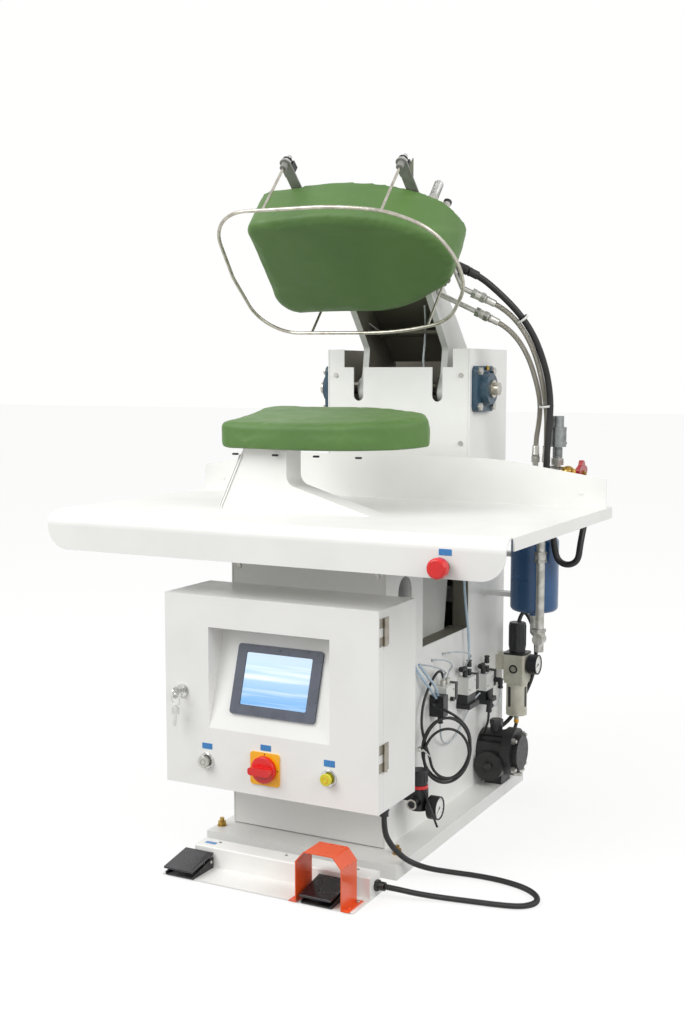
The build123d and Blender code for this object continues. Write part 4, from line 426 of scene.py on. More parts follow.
def piece(name, mesh, look, body, smooth=True):
    """Links a mesh as one piece on a body, or on none yet, with its finish."""
    obj = bpy.data.objects.new(name, mesh)
    scene.collection.objects.link(obj)
    mesh.materials.append(LOOKS[look].mat)
    if smooth:
        mesh.shade_smooth()
    if body:
        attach(obj, body)
    return obj


def mesh_of(bm, name):
    mesh = bpy.data.meshes.new(name)
    bmesh.ops.recalc_face_normals(bm, faces=bm.faces)
    bm.to_mesh(mesh)
    bm.free()
    return mesh


def axes_from(way):
    """Two unit vectors square to a direction."""
    way = Vector(way).normalized()
    helper = Vector((0, 0, 1)) if abs(way.z) < 0.9 else Vector((1, 0, 0))
    side = way.cross(helper).normalized()
    return side, way.cross(side).normalized()


def turned(bm, centre, way, profile, sides=32, closed=False):
    """Adds a turned shape: (distance along, radius) pairs round an axis, in millimetres."""
    side, up = axes_from(way)
    way = Vector(way).normalized()
    rings = []
    for along, radius in profile:
        ring = []
        for i in range(sides):
            angle = 2 * math.pi * i / sides
            spot = Vector(centre) + way * along + (side * math.cos(angle) + up * math.sin(angle)) * radius
            ring.append(bm.verts.new(spot * MM))
        rings.append(ring)
    if closed:
        rings.append(rings[0])
    for a, b in zip(rings, rings[1:]):
        for i in range(sides):
            j = (i + 1) % sides
            bm.faces.new((a[i], a[j], b[j], b[i]))
    if not closed:
        bm.faces.new(list(reversed(rings[0])))
        bm.faces.new(rings[-1])


def washer(inner, outer, height):
    """Profile of a plain ring, for a closed turned shape."""
    return [(0, inner), (0, outer), (height, outer), (height, inner)]


def turned_piece(name, centre, way, profile, look, body, sides=32, closed=False):
    bm = bmesh.new()
    turned(bm, centre, way, profile, sides, closed)
    soften(piece(name, mesh_of(bm, name), look, body), 0.3)


def soften(obj, width):
    """Rounds the sharp edges by a bevel and keeps the shading flat on the faces."""
    bevel = obj.modifiers.new("edges", "BEVEL")
    bevel.width = width * MM
    bevel.segments = 2
    bevel.limit_method = "ANGLE"
    bevel.angle_limit = math.radians(35)
    bevel.harden_normals = True


def slab(bm, corners, low, high, place):
    """Adds a straight-sided plate: (u, v) corners between two heights, mapped by a place function."""
    rings = []
    for w in (low, high):
        rings.append([bm.verts.new(Vector(place(u, v, w)) * MM) for u, v in corners])
    count = len(corners)
    for i in range(count):
        j = (i + 1) % count
        bm.faces.new((rings[0][i], rings[0][j], rings[1][j], rings[1][i]))
    bm.faces.new(list(reversed(rings[0])))
    bm.faces.new(rings[1])


def rounded(width, height, radius, steps=5, centre=(0, 0)):
    """Corner points of a rounded rectangle."""
    spots = []
    for cx, cy, start in ((1, 1, 0), (-1, 1, 90), (-1, -1, 180), (1, -1, 270)):
        for k in range(steps + 1):
            angle = math.radians(start + 90 * k / steps)
            x = cx * (width / 2 - radius) + radius * math.cos(angle)
            y = cy * (height / 2 - radius) + radius * math.sin(angle)
            spots.append((centre[0] + x, centre[1] + y))
    return spots


def slab_piece(name, corners, low, high, place, look, body, edge=0.4):
    bm = bmesh.new()
    slab(bm, corners, low, high, place)
    soften(piece(name, mesh_of(bm, name), look, body), edge)


def prism(name, low, high, look):
    """Flat triangular plate on the arm, between two lists of three points in millimetres."""
    bm = bmesh.new()
    ends = [[bm.verts.new(Vector(spot) * MM) for spot in spots] for spots in (low, high)]
    bm.faces.new(ends[0])
    bm.faces.new(list(reversed(ends[1])))
    for a in range(3):
        b = (a + 1) % 3
        bm.faces.new((ends[0][a], ends[1][a], ends[1][b], ends[0][b]))
    piece(name, mesh_of(bm, name), look, "head_arm", smooth=False)


def facing_front(y):
    """Place function of a face that looks to the front: u across, v up, w out."""
    return lambda u, v, w: (u, y - w, v)


def facing_up(z):
    return lambda u, v, w: (u, v, z + w)


# Hoses and cords

def nurbs(name, controls, resolution):
    """Curve with one NURBS spline over control points in millimetres."""
    curve = bpy.data.curves.new(name, "CURVE")
    curve.dimensions = "3D"
    spline = curve.splines.new("NURBS")
    spline.points.add(len(controls) - 1)
    for spot, control in zip(spline.points, controls):
        spot.co = (*(Vector(control) * MM), 1.0)
    spline.order_u = 3
    spline.use_endpoint_u = True
    spline.resolution_u = resolution
    return curve


def spline_points(name, controls):
    """Points read from a NURBS spline over the control points, in metres."""
    curve = nurbs(name + "_line", controls, 12)
    helper = bpy.data.objects.new(name + "_line", curve)
    scene.collection.objects.link(helper)
    bpy.context.view_layer.update()
    graph = bpy.context.evaluated_depsgraph_get()
    line = bpy.data.meshes.new_from_object(helper.evaluated_get(graph))
    spots = [v.co.copy() for v in line.vertices]
    bpy.data.objects.remove(helper)
    bpy.data.curves.remove(curve)
    bpy.data.meshes.remove(line)
    return spots


def even_points(spots, step):
    """The same line with points an even step apart."""
    lengths = [0.0]
    for a, b in zip(spots, spots[1:]):
        lengths.append(lengths[-1] + (b - a).length)
    total = lengths[-1]
    count = max(2, round(total / step))
    line = []
    k = 0
    for i in range(count + 1):
        want = total * i / count
        while k < len(lengths) - 2 and lengths[k + 1] < want:
            k += 1
        part = (want - lengths[k]) / max(lengths[k + 1] - lengths[k], 1e-9)
        line.append(spots[k].lerp(spots[k + 1], part))
    return line, total


def tube_mesh(name, line, radius, sides=20, waves=None):
    """Round tube along a line of points, with its length and turn in a UV map."""
    bm = bmesh.new()
    layer = bm.loops.layers.uv.new("UVMap")
    way = (line[1] - line[0]).normalized()
    side, _ = axes_from(way)
    rings, reach = [], [0.0]
    for i, spot in enumerate(line):
        if i:
            reach.append(reach[-1] + (spot - line[i - 1]).length)
        ahead = (line[min(i + 1, len(line) - 1)] - line[max(i - 1, 0)]).normalized()
        side = (side - ahead * side.dot(ahead)).normalized()
        up = ahead.cross(side)
        size = radius * MM * (waves(i) if waves else 1.0)
        ring = []
        for k in range(sides):
            angle = 2 * math.pi * k / sides
            ring.append(bm.verts.new(spot + (side * math.cos(angle) + up * math.sin(angle)) * size))
        rings.append(ring)
    for i in range(len(rings) - 1):
        for k in range(sides):
            j = (k + 1) % sides
            face = bm.faces.new((rings[i][k], rings[i][j], rings[i + 1][j], rings[i + 1][k]))
            marks = ((i, k), (i, k + 1), (i + 1, k + 1), (i + 1, k))
            for loop, (a, b) in zip(face.loops, marks):
                loop[layer].uv = (reach[a], b / sides)
    bm.faces.new(list(reversed(rings[0])))
    bm.faces.new(rings[-1])
    return mesh_of(bm, name)


def arm_hose(name, node, controls, radius, look):
    """Hose from the head to the base, curved between the two; its end ferrules sit on the head arm and the base.
    """
    line, _ = even_points(spline_points(name, controls), 0.003)
    hose = piece(name, tube_mesh(name, line, radius), look, None)
    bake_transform(hose)
    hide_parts(node)
    for tag, body, spot, ahead in (
        ("upper", "head_arm", line[0], line[4]), ("lower", "base", line[-1], line[-5]),
    ):
        profile = [
            (-0.5, radius + 1.2), (3, radius + 3.2), (6, radius + 3.2), (7, radius + 2.2),
            (24, radius + 2.2), (26, radius + 1.0),
        ]
        bm = bmesh.new()
        turned(bm, spot / MM, ahead - spot, profile, 24)
        cover = "rubber" if look == "rubber" and tag == "upper" else "zinc"
        piece(f"{name}_ferrule_{tag}", mesh_of(bm, name + tag), cover, body)


HEAD_HOSE = (
    (262, 118, 1210), (299, 146, 1166), (325, 170, 1119), (341, 188, 1070), (352, 204, 1016),
    (358, 210, 954), (354, 206, 886), (352, 201, 816), (356, 203, 752), (366, 201, 692),
    (374, 200, 632), (381, 200, 599), (392, 200, 587), (407.5, 200, 583), (423, 201, 587.5),
    (433.5, 202, 600), (435.5, 206, 630), (437, 222, 666), (438, 240, 702), (438, 240, 738),
)


def leave(before, end, lead):
    """Two first points of a hose: its union's end, and a point straight out of it."""
    start, stop = Vector(on_head(*before)), Vector(on_head(*end))
    way = (stop - start).normalized()
    return [tuple(stop), tuple(stop + way * lead)]


arm_hose(
    "steam_hose_black", "head_hose",
    leave(*HOSE_PIPE, 30) + list(HEAD_HOSE),
    7.5, "rubber",
)
arm_hose(
    "steam_hose_right", "braided_hose_right",
    leave(*UNIONS["right"], 36)
    + [
        (294, 141, 1150), (318, 164, 1106), (331, 188, 1056), (339, 208, 998), (343, 226, 936),
        (338, 240, 870), (338, 240, 832),
    ],
    6, "braid",
)
arm_hose(
    "steam_hose_left", "braided_hose_left",
    leave(*UNIONS["left"], 36)
    + [
        (296, 154, 1106), (314, 178, 1062), (324, 200, 1012), (329, 220, 960), (321, 236, 912),
        (312, 240, 870), (312, 240, 832),
    ],
    6, "braid",
)


def hose_tie(name, centre, way, radius, width=5):
    """Tie round the bundle of hoses."""
    bm = bmesh.new()
    turned(bm, Vector(centre) - Vector(way).normalized() * width / 2, way,
           washer(radius, radius + 1.3, width), 28, True)
    tie = piece(name, mesh_of(bm, name), "tie", None)
    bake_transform(tie)


hose_tie("hose_tie_upper", (306, 150, 1151), (28, 24, -46), 15)
hose_tie("hose_tie_lower", (346, 214, 952), (5, 10, -60), 16)

CONDUIT = (
    (240, -432, 146.5), (240, -432, 118), (243, -418, 90), (252, -394, 60), (268, -368, 34), (296, -340, 16),
    (338, -317, 8), (392, -307, 6.8), (448, -308, 6.5), (500, -322, 6.5), (534, -349, 6.5), (546, -382, 6.5),
    (530, -411, 6.5), (495, -424, 6.5), (436, -434, 6.5), (372, -448, 8), (326, -468, 15), (296, -481, 22),
    (266, -481, 22),
)
conduit_line, _ = even_points(spline_points("foot_conduit", CONDUIT), 0.001)
conduit = piece(
    "foot_conduit",
    tube_mesh("foot_conduit", conduit_line, 6, 18, lambda i: 1.0 if i % 4 < 2 else 0.86),
    "rubber", "base",
)
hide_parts("conduit")


def small_tube(name, controls, radius, look, lay="loose"):
    """Thin air tube from one fitting to another, as a NURBS curve."""
    curve = nurbs(name, controls, 10)
    curve.bevel_depth = radius * MM
    curve.bevel_resolution = 4
    curve.use_fill_caps = True
    curve.materials.append(LOOKS[look].mat)
    obj = bpy.data.objects.new(name, curve)
    scene.collection.objects.link(obj)
    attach(obj, "base")
    spots = spline_points(name, controls)
    return obj


def coil_points():
    """Control points of the loose coil: its turns differ in size and fan out below the tie."""
    centre = Vector((250, -139, 208))
    across = Vector((1, 1, 0)).normalized()
    out = Vector((1, -1, 0)).normalized()
    up = Vector((0, 0, 1))
    turns = ((60, 74, 0, 0), (52, 68, 5, -3), (63, 76, -6, 2), (47, 52, 3, 10))
    spots = []
    per_turn = 14
    for turn, (wide, high, shift, drop) in enumerate(turns):
        last = turn == len(turns) - 1
        for k in range(per_turn // 2 + 1 if last else per_turn):
            share = k / per_turn
            following = turns[min(turn + 1, len(turns) - 1)]
            mix = [a + (b - a) * share for a, b in zip((wide, high, shift, drop), following)]
            angle = -2 * math.pi * share
            depth = -9 + 6.2 * (turn + share)
            spot = centre + across * (mix[0] * math.cos(angle) + mix[2]) + up * (mix[1] * math.sin(angle) - mix[3])
            spots.append(tuple(spot + out * depth))
    return spots


LEAD_IN = [
    (203.4, -91, 298), (203.4, -106, 298), (215, -122, 297), (240, -125, 292), (266, -112, 276),
    (284, -100, 250), (288, -94, 226),
]
LEAD_OUT = [
    (212, -174, 232), (205, -176, 270), (203, -160, 315), (203.4, -120, 350), (203.4, -84, 366),
    (203.4, -58, 362), (203.4, -52, 345),
]
coil = small_tube("air_tube_coil", LEAD_IN + coil_points() + LEAD_OUT, 3, "rubber", lay="coiled")
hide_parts("tube_coil")


# Padded covers

PAD_FILL, PAD_SWELL, PAD_VOXEL, PAD_CORE = 0.8, 3.5, 4.6, 5.5
CLOTH_FRAMES = 20


def applied(obj):
    """Replaces an object's mesh by what its modifiers make of it."""
    graph = bpy.context.evaluated_depsgraph_get()
    made = bpy.data.meshes.new_from_object(obj.evaluated_get(graph))
    obj.modifiers.clear()
    old = obj.data
    obj.data = made
    bpy.data.meshes.remove(old)


def coordinates(mesh):
    spots = np.empty(len(mesh.vertices) * 3, np.float32)
    mesh.vertices.foreach_get("co", spots)
    return spots.reshape(-1, 3)


def blow_up(obj, held):
    """Swells a pad by a cloth run, with some points held, and caps how far each point moves."""
    rest = coordinates(obj.data).copy()
    group = obj.vertex_groups.new(name="held")
    group.add([i for i, flag in enumerate(held) if flag], 1.0, "REPLACE")
    cloth = obj.modifiers.new("cloth", "CLOTH")
    settings = cloth.settings
    settings.quality = 4
    settings.mass = 0.3
    settings.use_pressure = True
    settings.uniform_pressure_force = 4.0
    settings.effector_weights.gravity = 0
    settings.vertex_group_mass = "held"
    settings.tension_stiffness = 18
    settings.compression_stiffness = 18
    settings.bending_stiffness = 4
    cloth.point_cache.frame_start = 1
    cloth.point_cache.frame_end = CLOTH_FRAMES
    for number in range(1, CLOTH_FRAMES + 1):
        scene.frame_set(number)
    applied(obj)
    scene.frame_set(1)
    moved = coordinates(obj.data)
    shift = moved - rest
    size = np.linalg.norm(shift, axis=1, keepdims=True)
    limit = PAD_SWELL * MM
    rest += shift * (limit * np.tanh(size / limit) / np.maximum(size, 1e-9))
    obj.data.vertices.foreach_set("co", rest.astype(np.float32).ravel())
    obj.data.update()


def tree_of(node):
    mesh = nodes[node].data
    return BVHTree.FromPolygons([v.co for v in mesh.vertices], [p.vertices for p in mesh.polygons])


def padded_cover(name, node, core, body, shape):
    """Cover cloth over foam: a remeshed copy of the CAD pad, swollen where nothing holds it."""
    obj = bpy.data.objects.new(name, nodes[node].data.copy())
    scene.collection.objects.link(obj)
    remesh = obj.modifiers.new("remesh", "REMESH")
    remesh.mode = "VOXEL"
    remesh.voxel_size = PAD_VOXEL * MM
    bpy.context.view_layer.update()
    applied(obj)
    inner = tree_of(core)
    held = [inner.find_nearest(v.co, PAD_CORE * MM)[0] is not None for v in obj.data.vertices]
    blow_up(obj, held)
    spots = coordinates(obj.data).copy()
    shape(spots, np.array(held))
    obj.data.vertices.foreach_set("co", spots.astype(np.float32).ravel())
    smooth = obj.modifiers.new("smooth", "SMOOTH")
    smooth.factor = 0.5
    smooth.iterations = 2
    bpy.context.view_layer.update()
    applied(obj)
    sub = obj.modifiers.new("finer", "SUBSURF")
    sub.levels = 1
    sub.render_levels = 1
    obj.data.materials.clear()
    obj.data.materials.append(LOOKS["cloth"].mat)
    obj.data.shade_smooth()
    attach(obj, body)
    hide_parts(node)


def local_of(spots, place):
    """Coordinates on a plane's own axes, in millimetres, for many points."""
    origin = np.array(place(0, 0, 0))
    basis = np.array([np.array(place(*row)) - origin for row in ((1, 0, 0), (0, 1, 0), (0, 0, 1))])
    return (spots / MM - origin) @ basis.T, basis


def pull_folds(spots, held, place, seams, depth):
    """Sinks a narrow valley along each seam, given as (u, v) on the pad's side."""
    local, basis = local_of(spots, place)
    shift = np.zeros_like(local)
    for u, v, width in seams:
        away = np.hypot(local[:, 0] - u, local[:, 1] - v)
        reach = np.hypot(u, v)
        sink = depth * np.exp(-((away / width) ** 2))
        sink[held] = 0
        shift[:, 0] -= sink * u / reach
        shift[:, 1] -= sink * v / reach
    spots += (shift @ basis).astype(np.float32) * MM


UPPER_SEAMS = ((232, -68, 7), (-212, -102, 9), (248, 60, 7))
LOWER_SEAMS = ((229, -34, 5), (-214, -96, 7), (-205, -104, 5))

padded_cover(
    "upper_pad_cover", "upper_pad", "head_plate", "head_arm",
    lambda s, h: pull_folds(s, h, on_head, UPPER_SEAMS, 1.4),
)
padded_cover(
    "lower_pad_cover", "lower_pad", "lower_buck_plate", "base",
    lambda s, h: pull_folds(s, h, on_buck, LOWER_SEAMS, 1.6),
)


# Labels, screen and controls

for tag, x, z, y, width, height, body in (
    ("start", -142, 254, BOX_FRONT, 25, 12.5, "box_door"), (
        "switch", 0, 268.5, BOX_FRONT, 25, 12.5, "box_door",
    ),
    ("stop", 147, 256.5, BOX_FRONT, 25, 13.5, "box_door"), ("estop", 407, 701, TABLE_FRONT, 26, 12, "base"),
):
    spots = rounded(width, height, 1.2, 3, (x, z))
    slab_piece(f"{tag}_label", spots, 0.0, 0.5, facing_front(y), "label", body, 0.1)
slab_piece("foot_label", rounded(26, 11, 1.2, 3, (-137, -487)), 0, 0.5, facing_up(45), "label", "base", 0.1)

slab_piece("screen_glass", rounded(154, 108, 3, 4, (0, 2)), 4.5, 5.2, on_screen, "screen", "box_door", 0.1)
slab_piece(
    "screen_shine_bar", rounded(5, 2.4, 1.1, 3, (0, 65)), 6.0, 6.3, on_screen, "tick", "box_door", 0.05,
)

for tag, x, z, look in (("start", -143, 223, "zinc"), ("stop", 146, 227, "lemon")):
    profile = [(0, 15.0), (0, 17.6), (2.4, 17.6), (3.4, 16.6), (3.4, 15.0)]
    turned_piece(f"{tag}_washer", (x, BOX_FRONT, z), FRONT, profile, "chrome", "box_door", 40, True)
    turned_piece(
        f"{tag}_cap_ring", (x, -502, z), FRONT, [(4.9, 5.2), (4.9, 6.6), (5.7, 6.4), (5.7, 5.4)],
        "gland" if tag == "start" else "yellow", f"{tag}_button", 32, True,
    )
    turned_piece(
        f"{tag}_cap", (x, -501.8, z), FRONT, [(0, 12.6), (4.0, 12.6), (5.0, 11.6)], look, f"{tag}_button", 40,
        False,
    )

for turn in (0, 90):
    angle = math.radians(turn)
    way = Vector((math.cos(angle), 0, math.sin(angle)))
    side = Vector((-math.sin(angle), 0, math.cos(angle)))

    def mark(u, v, w, way=way, side=side):
        spot = Vector((SWITCH[0], BOX_FRONT - 4, SWITCH[1])) + way * (29.6 + u) + side * v
        return (spot.x, spot.y - w, spot.z)

    slab_piece(
        f"switch_mark_{turn}", [(0, -1), (3.4, -1), (3.4, 1), (0, 1)], 0, 0.3, mark, "tick", "box_door", 0.05,
    )


def ring_piece(name, centre, normal, radius, thick, look, body, sides=40):
    """A plain round ring of wire."""
    side, up = axes_from(normal)
    line = [(Vector(centre) + side * radius * math.cos(a) + up * radius * math.sin(a)) * MM
            for a in [2 * math.pi * k / sides for k in range(sides)]]
    bm = bmesh.new()
    rings = []
    for i, spot in enumerate(line):
        out = (spot / MM - Vector(centre)).normalized()
        axis = Vector(normal).normalized()
        rings.append([bm.verts.new(spot + (out * math.cos(q) + axis * math.sin(q)) * thick * MM)
                      for q in [2 * math.pi * k / 10 for k in range(10)]])
    for i in range(sides):
        a, b = rings[i], rings[(i + 1) % sides]
        for k in range(10):
            bm.faces.new((a[k], a[(k + 1) % 10], b[(k + 1) % 10], b[k]))
    piece(name, mesh_of(bm, name), look, body)


ring_piece("key_ring", (LOCK_X, KEY_Y, 352.5), (0.35, 1, 0.1), 13.5, 0.9, "chrome", "door_key")


def hanging(u, v, w):
    return (LOCK_X + u + 0.1 * v, KEY_Y - w - 0.05 * v, 339 + v)


spare = [
    (-1.8, 0), (1.8, 0), (9, -5), (9, -17), (3.2, -21), (3.2, -42), (1.4, -45), (-1.2, -45), (-3.2, -42),
    (-3.2, -21), (-9, -17), (-9, -5),
]
slab_piece("spare_key", spare, -0.9, 0.9, hanging, "chrome", "door_key", 0.2)


# Pedals and guard

for tag, x in (("left", -150), ("right", 169)):
    for side in (-1, 1):
        profile = [(0, 3.4), (1.2, 3.4), (2.0, 2.4)]
        turned_piece(
            f"pedal_pin_head_{tag}_{side + 1}", (x + side * 33.9, -520, 17.5), (side, 0, 0), profile, "zinc",
            "base", 20,
        )

for x in (116.5, 233.5):
    for y in (-573, -535):
        profile = [(0, 4.2), (1.4, 4.2), (2.6, 3.0), (3.0, 1.4)]
        turned_piece(
            f"guard_screw_{int(x)}_{-y}", (x, y, 5), UP, profile, "orange" if y == -573 else "zinc", "base",
            20, False,
        )

for x in (-120, 40, 205):
    profile = [(0, 3.2), (1.0, 3.2), (1.8, 2.0)]
    turned_piece(f"cover_screw_{x + 200}", (x, -478, 45), UP, profile, "zinc", "base", 18)


# Gauges

def on_dial(x, y, z, angle, reach=0):
    """Place function of a dial that looks to the right: u outwards from a reach, v across, w out."""
    run, rise = math.cos(angle), math.sin(angle)
    return lambda u, v, w: (x + w, y + (reach + u) * run - v * rise, z + (reach + u) * rise + v * run)


def gauge_face(name, x, y, z, radius, needle):
    """Dial with marks, a needle and its centre; there is no lettering."""
    turned_piece(f"{name}_dial", (x, y, z), RIGHT, [(0, radius), (0.6, radius)], "dial", "base", 40)
    rim = [(0, radius), (0, radius + 2.7), (2.4, radius + 2.7), (3.0, radius + 1.6), (2.2, radius)]
    turned_piece(f"{name}_rim", (x + 0.1, y, z), RIGHT, rim, "iron", "base", 40, True)
    bm = bmesh.new()
    for k in range(11):
        size = 4.4 if k % 5 == 0 else 2.8
        place = on_dial(x + 0.6, y, z, math.radians(225 - 27 * k), radius - 2 - size)
        slab(bm, [(0, -0.45), (size, -0.45), (size, 0.45), (0, 0.45)], 0, 0.25, place)
    piece(f"{name}_marks", mesh_of(bm, f"{name}_marks"), "tick", "base", smooth=False)
    pointer = on_dial(x + 1.0, y, z, math.radians(needle))
    hand = [(-5, -1.1), (-5, 1.1), (radius - 6, 0.3), (radius - 6, -0.3)]
    slab_piece(f"{name}_needle", hand, 0, 0.4, pointer, "tick", "base", 0.05)
    hub = [(0, 2.2), (0.9, 2.2), (1.2, 1.4)]
    turned_piece(f"{name}_hub", (x + 1.0, y, z), RIGHT, hub, "tick", "base", 20)


gauge_face("filter_gauge", 290, 343, 305.5, 22, 200)
gauge_face("line_gauge", 278, -244, 112, 22, 215)


# Air supply pieces

turned_piece("regulator_red_ring", (*REGULATOR, 150.5), UP, washer(17.1, 19.6, 7.0), "red", "base", 40, True)
turned_piece("regulator_port", (232, -282, 124), FRONT, washer(8, 11.5, 2.2), "zinc", "base", 32, True)
for k in range(14):
    angle = 2 * math.pi * k / 14
    for tag, x, y, low, high, r, body in (
        ("filter", *FILTER, 348, 402, 21, "filter_knob"),
        ("regulator", *REGULATOR, 163, 185, 18, "regulator_knob"),
    ):
        spot = (x + r * math.cos(angle), y + r * math.sin(angle), low)
        turned_piece(f"{tag}_knob_rib_{k}", spot, UP, [(0, 1.1), (high - low, 1.1)], "black", body, 8)

turned_piece(
    "filter_port_plug", (236, 315, 294), FRONT, [(0, 11), (1.0, 11), (1.0, 7.2), (-3.5, 7.2)], "black",
    "base", 30,
)
slab_piece("filter_band", rounded(57, 57, 7, 4, FILTER), 329.4, 333.5, facing_up(0), "black", "base", 0.4)
slab_piece("filter_collar", rounded(54, 54, 8, 4, FILTER), 256, 264, facing_up(0), "beige", "base", 0.8)


def bowl_window(name, turn):
    """Dark sight window let into the side of the bowl."""
    way = Vector((math.cos(turn), math.sin(turn), 0))
    side = Vector((-math.sin(turn), math.cos(turn), 0))

    def place(u, v, w):
        reach = math.sqrt(max(BOWL_RADIUS ** 2 - u * u, 1))
        spot = Vector((*FILTER, 0)) + way * (reach + w) + side * u
        return (spot.x, spot.y, v)

    corners = [(u, 196 if abs(u) < 4 else 198) for u in (-4.5, -2, 2, 4.5)]
    corners += [(u, 248 if abs(u) < 4 else 246) for u in (4.5, 2, -2, -4.5)]
    slab_piece(name, corners, -0.5, 0.45, place, "iron", "base", 0.15)


bowl_window("bowl_window_front", math.radians(-115))
bowl_window("bowl_window_right", math.radians(-12))
for step in range(3):
    z = 184 + step * 3.2
    turned_piece(f"bowl_groove_{step}", (*FILTER, z), UP, washer(25.8, 26.5, 1.2), "beige", "base", 44, True)
turned_piece(
    "drain_cock", (*FILTER, 150), UP, [(0, 4.2), (3, 6.4), (9, 6.4), (12, 4.4)], "yellow", "base", 12,
)
small_tube(
    "drain_hose",
    [(236, 343, 152), (236, 338, 138), (228, 322, 128), (214, 304, 128), (206, 288, 134), (204, 268, 142)],
    4.5, "rubber",
)
small_tube(
    "supply_hose",
    [
        (236, 352, 408), (240, 366, 440), (262, 372, 410), (276, 374, 350), (272, 372, 280), (250, 366, 220),
        (226, 350, 170), (210, 322, 146), (202, 282, 142),
    ],
    5, "rubber",
)


# Solenoid valves

def valve_face(p):
    for y, z in VALVES:
        if abs(p.y - y) < 25.5 and p.y > -65.5:
            if p.z > z + 20.6:
                return "zinc" if y < 0 else "black"
            return "black" if p.z < z - 20.4 else "white"
    return "black"


assign_parts("solenoid_valves", ["white", "black", "zinc"], valve_face)


def box_piece(name, x0, x1, y0, y1, z0, z1, look):
    corners = [(x0, y0), (x1, y0), (x1, y1), (x0, y1)]
    slab_piece(name, corners, z0, z1, facing_up(0), look, "base", 0.8)


for row in (
    ("valve_rear_block_1", 188, 219, -16, -2, 288, 328),
    ("valve_coil_cap_1", 190, 218, -93, -90, 270, 306),
    ("valve_rear_block_2", 188, 219, 114, 128, 284, 322),
    ("valve_rear_block_3", 188, 219, 230, 244, 268, 308),
    ("valve_foot_2", 188, 222, 64, 124, 246, 258),
    ("valve_foot_3", 188, 222, 180, 238, 232, 243),
):
    box_piece(*row, "black")
for i, (y, z) in enumerate(VALVES):
    for j, dz in enumerate((-9, 9)):
        profile = [(0, 2.6), (1.2, 2.6), (1.8, 1.6)]
        turned_piece(
            f"valve_screw_{i}_{j}", (217.4, y + (16 if j else -16), z + dz), RIGHT, profile, "zinc", "base",
            16,
        )


def push_fitting(name, centre, way, long, radius=6.2):
    profile = [
        (0, radius), (long * 0.6, radius), (long * 0.62, radius - 1), (long * 0.78, radius - 1),
        (long * 0.8, radius + 0.4), (long, radius + 0.4),
    ]
    turned_piece(name, centre, way, profile, "black", "base", 20)


for row in (
    ("elbow_a", (203.4, 79, 340), (0, -1, 0.1), 26),
    ("elbow_b", (203.4, 103, 340), UP, 16),
    ("elbow_c", (203.4, 194, 326), FRONT, 20),
    ("elbow_d", (203.4, 218, 326), UP, 18),
    ("elbow_e", (218, 192, 262), (0.2, 0, -1), 24),
    ("elbow_f", (218, 232, 284), RIGHT, 16),
    ("elbow_g", (234, 232, 288), DOWN, 24),
    ("elbow_h", (206, -72, 262), DOWN, 16),
    ("tee_body", (222, 186, 214), (0.1, 0, 1), 30, 7),
    ("tee_side", (222, 186, 226), (0, 1, 0), 18, 6),
    ("valve_port_1", (217.4, -40, 296), RIGHT, 8, 5),
):
    push_fitting(*row)

for row in (
    (
        "clear_tube_1",
        [
            (187, -144, 391), (200, -142, 392), (222, -120, 384), (226, -84, 366), (208, -56, 356),
            (203.4, -52, 338),
        ],
        2, "clear_tube",
    ),
    (
        "clear_tube_2",
        [
            (187, -79, 389), (198, -78, 392), (220, -60, 388), (222, -38, 372), (206, -28, 356),
            (203.4, -28, 338),
        ],
        2, "clear_tube",
    ),
    (
        "clear_tube_3",
        [(187, -18, 392), (200, -17, 396), (226, 10, 396), (232, 50, 382), (212, 76, 362), (203.4, 79, 344)],
        2, "clear_tube",
    ),
    (
        "pale_tube_1",
        [(196, -170, 398), (206, -150, 372), (212, -120, 344), (208, -92, 318), (206, -82, 306)], 3,
        "blue_tube",
    ),
    (
        "pale_tube_2",
        [(190, -176, 392), (200, -158, 364), (206, -128, 336), (204, -98, 312), (204, -84, 302)], 3,
        "blue_tube",
    ),
    (
        "trap_tube_1", [(222, 186, 214), (222, 186, 196), (216, 190, 178), (206, 196, 160), (202, 206, 148)],
        3, "rubber",
    ),
    ("trap_tube_2", [(234, 232, 266), (234, 234, 240), (232, 216, 222), (222, 204, 226)], 2, "clear_tube"),
    (
        "low_tube",
        [
            (206, -72, 246), (206, -72, 222), (198, -40, 190), (194, 20, 176), (193, 80, 196),
            (196, 120, 232), (203, 150, 258), (206, 168, 262),
        ],
        2, "clear_tube",
    ),
    (
        "line_tube",
        [(236, -250, 150), (250, -262, 150), (268, -276, 132), (284, -284, 104), (290, -280, 84)], 2.4,
        "rubber",
    ),
    (
        "window_tube",
        [
            (206, 88, 716), (206, 72, 640), (204, 62, 560), (202, 84, 480), (203.4, 103, 400),
            (203.4, 103, 350),
        ],
        3, "blue_tube",
    ),
):
    small_tube(*row)


def wrap(name, centre, way, radius, width=4.4):
    """Cable tie round a bundle, with its locking head."""
    side, up = axes_from(way)
    ahead = Vector(way).normalized()
    start = Vector(centre) - ahead * (width / 2)
    turned_piece(name, start, way, washer(radius, radius + 1.2, width), "tie", "base", 28, True)
    spot = Vector(centre) + side * (radius + 2.4)

    def place(u, v, w):
        return tuple(spot + ahead * u + up * v + side * w)

    slab_piece(f"{name}_head", rounded(width + 1.6, 6, 1, 3), -2, 2.6, place, "tie", "base", 0.3)


wrap("coil_tie", (207, -180, 214), (0.1, -0.1, 1), 8.6)
turned_piece(
    "coil_tie_tail", (214, -186, 216), (1, -0.5, -0.45), [(0, 1.4), (26, 1.2), (27, 0.8)], "tie", "base", 8,
)


# Steam trap details

